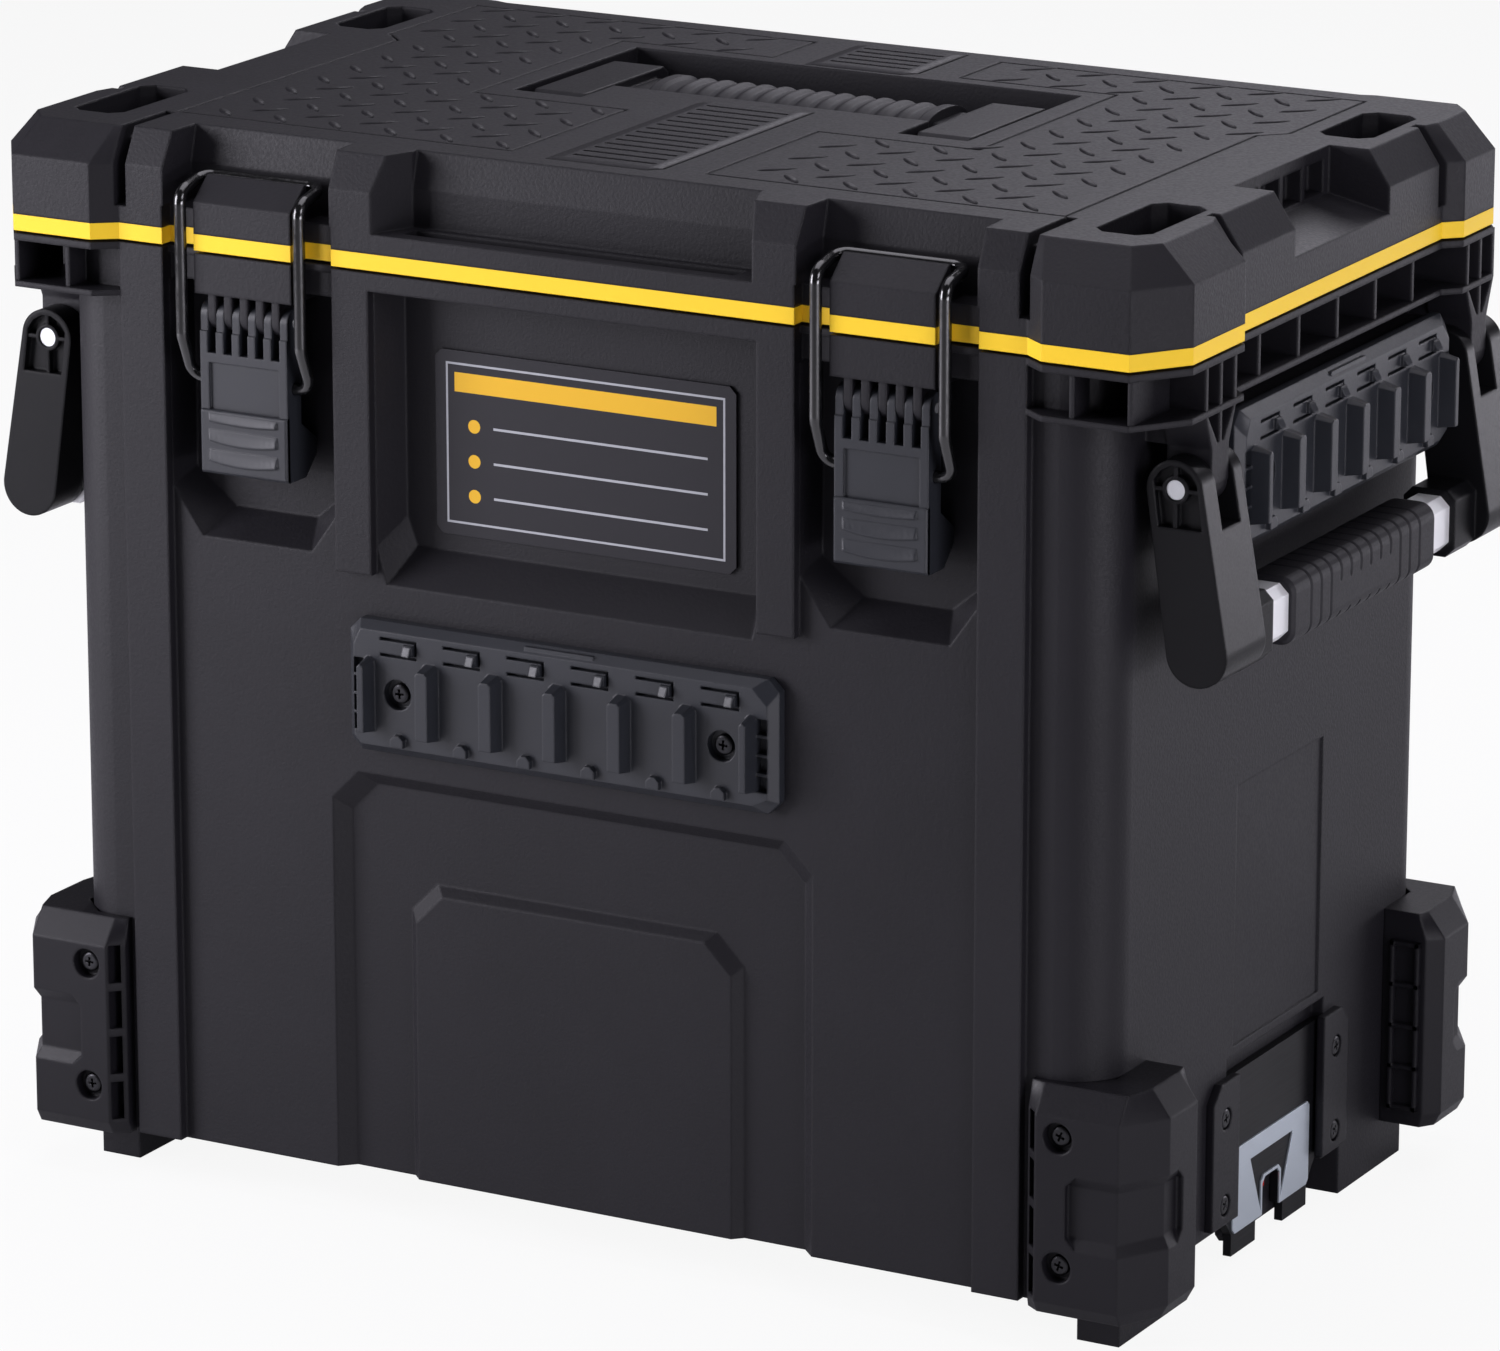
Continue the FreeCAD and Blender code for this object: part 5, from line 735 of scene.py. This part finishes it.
@dataclass
class Box:
    """The body with its label, rails, guards and their screws.

    Args:
        nub_pitch: distance from one snap tongue of a rail to the next, in millimetres.
        nub_count: how many tongues a rail has.
        nub_start: distance from a tongue's middle to its nub.
        nub_size: width and height of a nub.
        nub_level: height of the nubs' middle over the rail's.
        nub_back: distance from the crest of the rail's ribs to a nub's foot.
        nub_root: how deep a nub reaches into its tongue.
        nub_rise: how far the lower edge of a nub stands out.
        nub_lean: how much further its far end stands out.
        nub_draft: how much its sides are drawn in.
        cell_count: how many stiffening cells a guard has.
        cell_wall: thickness of the walls between them.
        cell_proud: how far they stand out of the guard's end face.
        cell_inner: distance from the box's middle to the cells' inner edge.
        cell_outer: distance from the box's middle to their outer edge.
        cell_low: height of the lowest cell over the guard's foot.
        cell_high: drop of the highest cell from the guard's top.
        cell_draft: how much the walls are drawn in.
    """

    nub_pitch: float = 29.8
    nub_count: int = 6
    nub_start: float = 3.0
    nub_size: float = 4.4
    nub_level: float = 17.95
    nub_back: float = 5.9
    nub_root: float = 0.5
    nub_rise: float = 1.9
    nub_lean: float = 0.55
    nub_draft: float = 0.35
    cell_count: int = 4
    cell_wall: float = 2.2
    cell_proud: float = 2.6
    cell_inner: float = 245.0
    cell_outer: float = 258.5
    cell_low: float = 7.0
    cell_high: float = 12.5
    cell_draft: float = 0.25

    def dress(self) -> None:
        """Finish the carried-over pieces of the body."""
        dress("body_shell", SHELL)
        dress("label_plate", LABEL)
        dress("hinge_pins", PIN)
        for end in ("front", *SIDES):
            dress(f"accessory_rail_{end}", NYLON)
        for side in SIDES:
            for end in ENDS:
                dress(f"corner_guard_{end}_{side}", GUARD)

    def nub_rings(self, start: float) -> list[list[tuple[float, float, float]]]:
        """Shape one nub as a ramp that stands out furthest at its lower far corner.

        Args:
            start: where the nub starts along the rail, in millimetres.

        Returns:
            its foot and its ramp, as places along the rail, out of the tongue and up.
        """
        stop = start + self.nub_size
        low, high = self.nub_level - self.nub_size / 2, self.nub_level + self.nub_size / 2
        foot = [(along, -self.nub_root, up) for along, up in (
            (start, low), (stop, low), (stop, high), (start, high))]
        near, far = start + self.nub_draft, stop - self.nub_draft
        low, high = low + self.nub_draft, high - self.nub_draft
        ramp = [(near, self.nub_rise, low), (far, self.nub_rise + self.nub_lean, low),
                (far, self.nub_lean, high), (near, 0.0, high)]
        return [foot, ramp]

    def build_clip_nubs(self) -> None:
        """Raise the ramped nub at the end of each snap tongue of the rails."""
        for end in ("front", *SIDES):
            low, high = box_mm(f"accessory_rail_{end}")
            crest = (low + high) / 2
            if end == "front":
                along, out = Vector((1, 0, 0)), Vector((0, -1, 0))
                crest.y = low.y
            else:
                along, out = Vector((0, 1, 0)), Vector((OUTWARD[end], 0, 0))
                crest.x = high.x if end == "right" else low.x
            root = crest - out * self.nub_back
            mesh = bmesh.new()
            for k in range(self.nub_count):
                start = (k - (self.nub_count - 1) / 2) * self.nub_pitch + self.nub_start
                loft(mesh, [[(root + along * a + out * o + Vector((0, 0, z))) * MM for a, o, z in ring]
                            for ring in self.nub_rings(start)])
            new_piece(f"rail_clip_nubs_{end}", mesh, NYLON, "box")

    def build_guard_cells(self) -> None:
        """Stand a ladder of stiffening cells on the end face of each guard's side wing."""
        wall, inner, outer = self.cell_wall, self.cell_inner, self.cell_outer
        for side in SIDES:
            for end in ENDS:
                low, high = box_mm(f"corner_guard_{end}_{side}")
                face = high.y if end == "front" else low.y
                tip = face + (self.cell_proud if end == "front" else -self.cell_proud)
                bottom, top = low.z + self.cell_low, high.z - self.cell_high
                step = (top - bottom - wall) / self.cell_count
                bars = [(inner, outer, bottom + k * step, bottom + k * step + wall)
                        for k in range(self.cell_count + 1)]
                bars += [(inner, inner + wall, bottom, top), (outer - wall, outer, bottom, top)]
                mesh = bmesh.new()
                for left, right, base, head in bars:
                    rings = []
                    for level, draw in ((face, 0.0), (tip, self.cell_draft)):
                        rings.append([Vector((OUTWARD[side] * x, level, z)) * MM for x, z in (
                            (left + draw, base + draw), (right - draw, base + draw),
                            (right - draw, head - draw), (left + draw, head - draw))])
                    loft(mesh, rings)
                new_piece(f"guard_cells_{end}_{side}", mesh, GUARD, "box")

    def build_screws(self) -> None:
        """Build the rails', the guards' and the locks' screws."""
        for node in ("rail_screws", "guard_screws", "lock_screws"):
            Screws(node).build()


@dataclass
class Latches:
    """Both toggle latches: levers, pins and wire bails.

    Args:
        rib_rise: how far the lever's own fine ribs stand out of its front, in millimetres.
        block_low: height of the thumb block's lower edge over the lever's foot.
        block_slope: height at which the block reaches its full depth.
        block_top: height of the block's upper edge.
        block_rise: how far the block stands out.
        edge: cut of the block's edges.
        root: how deep the block reaches into the lever.
        pads: upper edge, lower edge and sag of each pad, over the lever's foot.
        pad_inset: distance from a pad's end to the lever's side.
        pad_rise: how far a pad's lower edge stands out of the block.
        pad_lip: how far a pad stands out just under its upper edge.
        lip_drop: how far under that edge it does so.
        nose: height of the fullest part over a pad's lower edge.
        nose_low: height at which the pad turns back under it.
        nose_share: share of the rise that is left there.
        end_share: share of the rise that is left at a pad's ends.
        end_start: where a pad's ends start to fall off, as a share of its half length.
        pad_steps: how many steps each half of a pad has.
    """

    rib_rise: float = 0.9
    block_low: float = 0.2
    block_slope: float = 1.4
    block_top: float = 27.0
    block_rise: float = 1.1
    edge: float = 0.7
    root: float = 1.5
    pads: tuple[tuple[float, float, float], ...] = ((25.6, 22.4, 0.9), (18.9, 14.3, 1.6), (10.5, 5.8, 1.6))
    pad_inset: float = 4.4
    pad_rise: float = 1.1
    pad_lip: float = 0.12
    lip_drop: float = 0.15
    nose: float = 0.7
    nose_low: float = 0.1
    nose_share: float = 0.9
    end_share: float = 0.55
    end_start: float = 0.96
    pad_steps: int = 6

    def dress(self) -> None:
        """Finish the carried-over pieces of the latches."""
        for side in SIDES:
            dress(f"latch_lever_{side}", NYLON)
            dress(f"latch_pin_{side}", PIN)
            dress(f"latch_bail_{side}", WIRE)

    def pad_ring(self, x: float, share: float, face: float, foot: float,
                 pad: tuple[float, float, float]) -> list[Vector]:
        """Shape one cross-section of a thumb pad.

        Args:
            x: its place across the lever in millimetres.
            share: its place from -1 to 1 over the pad's length.
            face: front of the thumb block.
            foot: height of the lever's foot.
            pad: upper edge, lower edge and sag of the pad.

        Returns:
            points from the root at the top round the proud lower edge.
        """
        top, low, sag = pad
        low = foot + low - sag * (1 - share ** 2)
        top = foot + top
        rise = self.pad_rise * (self.end_share if abs(share) == 1 else 1.0)
        inside = self.block_rise / 2
        profile = [(inside, top), (-self.pad_lip, top - self.lip_drop), (-rise, low + self.nose),
                   (-rise * self.nose_share, low + self.nose_low), (inside, low)]
        return [Vector((x, face + out, z)) * MM for out, z in profile]

    def block_rings(self, low: Vector, high: Vector, front: float) -> list[list[Vector]]:
        """Shape the thumb block that carries the pads.

        Args:
            low: lowest corner of the lever in millimetres.
            high: its highest corner.
            front: front of the lever.

        Returns:
            cross-sections from the left to the right.
        """
        face = front - self.block_rise
        foot, top = low.z + self.block_low, low.z + self.block_top
        rings = []
        for x, draw in ((low.x, self.edge), (low.x + self.edge, 0.0), (high.x - self.edge, 0.0),
                        (high.x, self.edge)):
            full = face + draw
            profile = [(front + self.root, foot), (front, foot), (full, low.z + self.block_slope),
                       (full, top - self.edge), (full + self.edge, top), (front + self.root, top)]
            rings.append([Vector((x, y, z)) * MM for y, z in profile])
        return rings

    def build_thumb_pads(self) -> None:
        """Mould the thumb block of each lever, with three pads that bow at their lower edges."""
        inner = [k / self.pad_steps - 1 for k in range(1, 2 * self.pad_steps)]
        shares = [-1.0, -self.end_start, *inner, self.end_start, 1.0]
        for side in SIDES:
            low, high = box_mm(f"latch_lever_{side}")
            front = low.y + self.rib_rise
            middle, half = (low.x + high.x) / 2, (high.x - low.x) / 2 - self.pad_inset
            mesh = bmesh.new()
            loft(mesh, self.block_rings(low, high, front))
            for pad in self.pads:
                loft(mesh, [self.pad_ring(middle + share * half, share, front - self.block_rise, low.z, pad)
                            for share in shares])
            new_piece(f"lever_thumb_pads_{side}", mesh, NYLON, f"latch_lever_{side}")


@dataclass
class Handles:
    """The two side handles and the top handle.

    Args:
        rib_pitch: distance from one rib of the top grip to the next, in millimetres.
        rib_wide: width of a rib.
        rib_rise: height of a rib.
        rib_count: how many ribs there are.
        rib_fade: how fast a rib fades down the sides of the grip.
        collar_start: distance from the top grip's middle to its end collars.
        square: exponent of the top grip's section, 1 for an ellipse and less for a squarer one.
        ring_steps: how many points that section has.
        stations: how many steps the top grip has along its length.
        side_pitch: distance from one groove of a side grip to the next.
        side_grooves: how many grooves there are.
        side_full: how many of them at each end run all the way round.
        groove_half: half the width of a groove.
        groove_deep: depth of a groove.
        groove_steps: where a groove is cut across, as shares of its half width.
        bare_out: where the bare outer face starts, as a share of the half width.
        bare_low: lower edge of the bare face, as a share of the half height.
        bare_high: its upper edge.
        side_inset: distance from a side grip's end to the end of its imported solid.
        side_round: radius of a side grip's long edges.
        end_draw: how much its ends are drawn in.
        corner_steps: how many steps each round edge has.
        flat_steps: how many steps each flat has.
    """

    rib_pitch: float = 9.4
    rib_wide: float = 6.4
    rib_rise: float = 1.5
    rib_count: int = 12
    rib_fade: float = 0.7
    collar_start: float = 60.5
    square: float = 0.8
    ring_steps: int = 40
    stations: int = 264
    side_pitch: float = 9.4
    side_grooves: int = 12
    side_full: int = 3
    groove_half: float = 1.1
    groove_deep: float = 1.2
    groove_steps: tuple[float, ...] = (-1.0, -0.5, 0.0, 0.5, 1.0)
    bare_out: float = 0.9
    bare_low: float = -0.72
    bare_high: float = 0.3
    side_inset: float = 2.5
    side_round: float = 6.5
    end_draw: float = 1.4
    corner_steps: int = 6
    flat_steps: int = 6

    def dress(self) -> None:
        """Finish the carried-over pieces of the handles."""
        for side in SIDES:
            for end in ENDS:
                dress(f"side_handle_arm_{side}_{end}", ARM)
            dress(f"side_handle_bar_{side}", TUBE)
            dress(f"side_handle_grip_{side}", GRIP)
            dress(f"side_handle_pins_{side}", PIN)
        dress("top_handle_frame", GUARD)
        dress("top_handle_grip", GRIP)
        dress("top_handle_pins", PIN)

    def grip_ring(self, x: float, middle: Vector, size: Vector) -> list[Vector]:
        """Shape one cross-section of the top grip.

        Args:
            x: its place along the grip in millimetres.
            middle: middle of the grip.
            size: half its size each way.

        Returns:
            points round the section, fuller on a rib's crest and only over the top.
        """
        nearest = round(x / self.rib_pitch - 0.5) + 0.5
        off = abs(x - nearest * self.rib_pitch) / (self.rib_wide / 2)
        crest = math.cos(off * math.pi / 2) if off < 1 and abs(nearest) < self.rib_count / 2 else 0.0
        collar = 1.0 if abs(x) > self.collar_start else 0.0
        points = []
        for k in range(self.ring_steps):
            turn = math.tau * k / self.ring_steps
            along, up = math.cos(turn), math.sin(turn)
            full = max(collar, crest * max(0.0, up) ** self.rib_fade)
            draw = self.rib_rise * (1 - full)
            points.append(Vector((
                x,
                middle.y + math.copysign(abs(along) ** self.square, along) * (size.y - draw),
                middle.z + math.copysign(abs(up) ** self.square, up) * (size.z - draw))) * MM)
        return points

    def build_top_grip(self) -> None:
        """Mould the top grip: a rounded bar with crescent ribs and a collar at each end."""
        low, high = box_mm("top_handle_grip")
        middle, size = (low + high) / 2, (high - low) / 2
        places = [low.x + (high.x - low.x) * k / self.stations for k in range(self.stations + 1)]
        mesh = bmesh.new()
        loft(mesh, [self.grip_ring(x, middle, size) for x in places])
        piece = new_piece("top_grip_moulded", mesh, GRIP, "top_handle")
        for face in piece.data.polygons:
            face.use_smooth = len(face.vertices) == 4
        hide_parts("top_handle_grip")

    def side_outline(self, half_wide: float, half_tall: float) -> list[tuple[float, float]]:
        """Draw a round-cornered outline about the grip's middle.

        Args:
            half_wide: half its width in millimetres.
            half_tall: half its height.

        Returns:
            points across and up, with steps along the flats as well as round the corners.
        """
        points = []
        for quarter in range(4):
            middle = math.pi / 4 + quarter * math.pi / 2
            across = math.copysign(half_wide - self.side_round, math.cos(middle))
            up = math.copysign(half_tall - self.side_round, math.sin(middle))
            for k in range(self.corner_steps + 1):
                turn = (quarter + k / self.corner_steps) * math.pi / 2
                points.append((across + math.cos(turn) * self.side_round,
                               up + math.sin(turn) * self.side_round))
            flat = 2 * (half_wide if quarter % 2 == 0 else half_tall) - 2 * self.side_round
            x, z = points[-1]
            step_x, step_z = ((-1, 0), (0, -1), (1, 0), (0, 1))[quarter]
            for k in range(1, self.flat_steps):
                run = k / self.flat_steps * flat
                points.append((x + step_x * run, z + step_z * run))
        return points

    def groove_share(self, place: float, out: float, up: float) -> float:
        """Tell how deep the grip is grooved at a point.

        Args:
            place: distance along the grip from its middle.
            out: distance outwards from its middle, as a share of its half width.
            up: distance upwards, as a share of its half height.

        Returns:
            1 at the bottom of a groove and 0 between two and on the bare middle of the outer face.
        """
        number = round(place / self.side_pitch - 0.5)
        off = abs(place - (number + 0.5) * self.side_pitch) / self.groove_half
        half = self.side_grooves // 2
        if off >= 1 or not -half <= number < half:
            return 0.0
        is_partial = -(half - self.side_full) <= number < half - self.side_full
        if is_partial and out > self.bare_out and self.bare_low < up < self.bare_high:
            return 0.0
        return 1 - off

    def build_side_grips(self) -> None:
        """Mould both side grips: full grooves near the ends, and a bare outer face between them."""
        for side in SIDES:
            node = f"side_handle_grip_{side}"
            low, high = box_mm(node)
            middle, size = (low + high) / 2, (high - low) / 2
            reach = size.y - self.side_inset
            places = [-reach, -reach + self.end_draw, reach - self.end_draw, reach]
            for k in range(self.side_grooves):
                centre = (k - self.side_grooves / 2 + 0.5) * self.side_pitch
                places += [centre + step * self.groove_half for step in self.groove_steps]
            outline = self.side_outline(size.x, size.z)
            rings = []
            for place in sorted(places):
                ring = []
                for across, up in outline:
                    draw = self.groove_deep * self.groove_share(place, across / size.x, up / size.z)
                    draw += self.end_draw if abs(place) == reach else 0.0
                    ring.append(Vector((middle.x + OUTWARD[side] * across * (1 - draw / size.x),
                                        middle.y + place, middle.z + up * (1 - draw / size.z))) * MM)
                rings.append(ring)
            mesh = bmesh.new()
            loft(mesh, rings)
            piece = new_piece(f"side_grip_moulded_{side}", mesh, GRIP, f"side_handle_{side}")
            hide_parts(node)


@dataclass
class StackLocks:
    """The sliding locks at both sides, with the web of the body's skirt behind each slider.

    Args:
        web_gap: clearance between the slider and the web, in millimetres.
        web_thick: thickness of the web.
        web_low: height of its lower edge over the slider's feet.
        web_high: height of its upper edge, inside the body's floor.
        web_corner: cut of its lower corners.
        web_draft: how much its outer face is drawn in.
    """

    web_gap: float = 0.6
    web_thick: float = 3.0
    web_low: float = 4.5
    web_high: float = 20.0
    web_corner: float = 4.0
    web_draft: float = 0.3

    def dress(self) -> None:
        """Finish the carried-over pieces of the locks."""
        for side in SIDES:
            dress(f"lock_brackets_{side}", GUARD)
            dress(f"lock_slider_{side}", BLACK_PLATE)
            dress(f"lock_face_{side}", ZINC)
            dress(f"lock_flag_{side}", FLAG)

    def build_webs(self) -> None:
        """Hang the skirt's web behind each slider, where it closes the view through the key slot."""
        for side in SIDES:
            low, high = box_mm(f"lock_slider_{side}")
            inner = low.x if side == "right" else high.x
            face = inner - OUTWARD[side] * self.web_gap
            bottom, top = low.z + self.web_low, low.z + self.web_high
            start, stop = (corner.y for corner in box_mm(f"lock_face_{side}"))
            rings = []
            for x, draw in ((face, self.web_draft), (face - OUTWARD[side] * self.web_thick, 0.0)):
                outline = [(start + draw, top), (start + draw, bottom + self.web_corner),
                           (start + draw + self.web_corner, bottom + draw),
                           (stop - draw - self.web_corner, bottom + draw),
                           (stop - draw, bottom + self.web_corner), (stop - draw, top)]
                rings.append([Vector((x, y, z)) * MM for y, z in outline])
            mesh = bmesh.new()
            loft(mesh, rings)
            new_piece(f"skirt_web_{side}", mesh, SHELL, "box")


@dataclass(frozen=True)
class SoftBox:
    """A rectangular lamp.

    Args:
        name: name of the lamp.
        place: where it hangs, in metres.
        aim: the point that it faces.
        size: width and height in metres.
        watts: its power.
    """

    name: str
    place: tuple[float, float, float]
    aim: tuple[float, float, float]
    size: tuple[float, float]
    watts: float

    def hang(self, colour: str) -> None:
        """Hang the lamp where the camera doesn't see it.

        Args:
            colour: sRGB hex of its light.
        """
        data = bpy.data.lights.new(self.name, "AREA")
        data.shape = "RECTANGLE"
        data.size, data.size_y = self.size
        data.energy = self.watts
        data.color = linear(colour)[:3]
        lamp = bpy.data.objects.new(self.name, data)
        lamp.visible_camera = False
        lamp.location = self.place
        lamp.rotation_euler = (Vector(self.aim) - Vector(self.place)).to_track_quat("-Z", "Y").to_euler()
        bpy.context.scene.collection.objects.link(lamp)


@dataclass
class Studio:
    """Floor, lights, surroundings and camera.

    Args:
        floor_half: half the floor's width in metres.
        paper: sRGB hex of the floor.
        white: sRGB hex of what the camera sees behind the object.
        daylight: sRGB hex of all light.
        fill: strength of the even light from all round.
        seen_share: share of plain white in the floor as the camera sees it; the rest shows the shadow.
        mirrored_share: the same share in reflections.
        camera_place: where the camera stands, in millimetres.
        azimuth: its turn about the upright, in degrees.
        elevation: how far it looks down, in degrees.
        lens: its focal length in millimetres.
        sensor: width of its sensor in millimetres.
        sight: how far it sees, in metres.
        lamps: the soft boxes, from the left front round to the right.
    """

    floor_half: float = 30.0
    paper: str = "#E9E9EA"
    white: str = "#FFFFFF"
    daylight: str = "#F8F5FF"
    fill: float = 0.05
    seen_share: float = 0.91
    mirrored_share: float = 0.05
    camera_place: tuple[float, float, float] = (1504.87, -2716.3, 1097.27)
    azimuth: float = 29.02
    elevation: float = 15.95
    lens: float = 185.137
    sensor: float = 36.0
    sight: float = 50.0
    lamps: tuple[SoftBox, ...] = (
        SoftBox("left_front_soft_box", (-1.3, -1.05, 0.62), (0.0, 0.0, 0.3), (0.8, 0.9), 31),
        SoftBox("overhead_soft_box", (0.0, 0.0, 1.35), (0.0, 0.0, 0.3), (1.3, 1.0), 8),
        SoftBox("rear_soft_box", (0.0, 2.0, 1.8), (0.0, 0.0, 0.4), (2.0, 1.0), 25),
        SoftBox("right_rear_strip", (1.4, 2.2, 0.25), (0.2, 0.0, 0.3), (1.6, 0.4), 11),
        SoftBox("right_front_strip", (2.0, -1.0, 0.2), (0.2, 0.0, 0.35), (1.2, 0.3), 12),
        SoftBox("right_front_soft_box", (1.9, -0.8, 1.1), (0.2, 0.0, 0.35), (0.8, 0.6), 11))

    def floor(self) -> None:
        """Lay the pale floor, white to the camera but still shaded by the object."""
        mesh = bmesh.new()
        bmesh.ops.create_grid(mesh, x_segments=1, y_segments=1, size=self.floor_half)
        data = bpy.data.meshes.new("studio_floor")
        mesh.to_mesh(data)
        mesh.free()
        material = bpy.data.materials.new("pale_paper_sweep")
        material.use_nodes = True
        tree = material.node_tree
        tree.nodes.clear()
        paper = add_node(tree, "ShaderNodeBsdfDiffuse", {"Color": linear(self.paper)})
        glow = add_node(tree, "ShaderNodeEmission", {"Color": linear(self.white), "Strength": 1.0})
        rays = add_node(tree, "ShaderNodeLightPath").outputs
        mirrored = add_node(tree, "ShaderNodeMath",
                            {0: rays["Is Glossy Ray"], 1: rays["Is Transmission Ray"]}, operation="MAXIMUM")
        faint = add_node(tree, "ShaderNodeMath", {0: mirrored.outputs[0], 1: self.mirrored_share},
                         operation="MULTIPLY")
        bright = add_node(tree, "ShaderNodeMath", {0: rays["Is Camera Ray"], 1: self.seen_share},
                          operation="MULTIPLY")
        share = add_node(tree, "ShaderNodeMath", {0: faint.outputs[0], 1: bright.outputs[0]},
                         operation="MAXIMUM")
        blend = add_node(tree, "ShaderNodeMixShader",
                         {0: share.outputs[0], 1: paper.outputs["BSDF"], 2: glow.outputs["Emission"]})
        add_node(tree, "ShaderNodeOutputMaterial", {"Surface": blend.outputs["Shader"]})
        data.materials.append(material)
        floor = bpy.data.objects.new("studio_floor", data)
        bpy.context.scene.collection.objects.link(floor)

    def surroundings(self) -> None:
        """Fill the room with even pale light and show white behind the object."""
        world = bpy.data.worlds.new("pale_studio")
        world.use_nodes = True
        tree = world.node_tree
        tree.nodes.clear()
        rays = add_node(tree, "ShaderNodeLightPath").outputs
        fill = add_node(tree, "ShaderNodeBackground", {"Color": linear(self.daylight), "Strength": self.fill})
        white = add_node(tree, "ShaderNodeBackground", {"Color": linear(self.white), "Strength": 1.0})
        blend = add_node(tree, "ShaderNodeMixShader",
                         {0: rays["Is Camera Ray"], 1: fill.outputs[0], 2: white.outputs[0]})
        add_node(tree, "ShaderNodeOutputWorld", {"Surface": blend.outputs["Shader"]})
        bpy.context.scene.world = world

    def camera(self) -> None:
        """Set the camera at the photograph's place and angle."""
        data = bpy.data.cameras.new("photo_camera")
        data.sensor_fit = "HORIZONTAL"
        data.sensor_width = self.sensor
        data.lens = self.lens
        data.clip_end = self.sight
        camera = bpy.data.objects.new("photo_camera", data)
        camera.location = Vector(self.camera_place) * MM
        camera.rotation_euler = (math.radians(90 - self.elevation), 0.0, math.radians(self.azimuth))
        bpy.context.scene.collection.objects.link(camera)
        bpy.context.scene.camera = camera

    def build(self) -> None:
        """Set up the whole studio."""
        bpy.context.scene.view_settings.view_transform = "Standard"
        self.floor()
        self.surroundings()
        for lamp in self.lamps:
            lamp.hang(self.daylight)
        self.camera()


def main() -> None:
    """Build and dress every sub-assembly, then set up the studio."""
    logging.basicConfig(level=logging.INFO, format="%(name)s: %(message)s")
    box = Box()
    box.dress()
    box.build_clip_nubs()
    box.build_guard_cells()
    box.build_screws()
    lid = Lid()
    lid.dress()
    lid.build_tread()
    lid.build_grilles()
    latches = Latches()
    latches.dress()
    latches.build_thumb_pads()
    handles = Handles()
    handles.dress()
    handles.build_top_grip()
    handles.build_side_grips()
    locks = StackLocks()
    locks.dress()
    locks.build_webs()
    Studio().build()


if __name__ == "__main__":
    main()
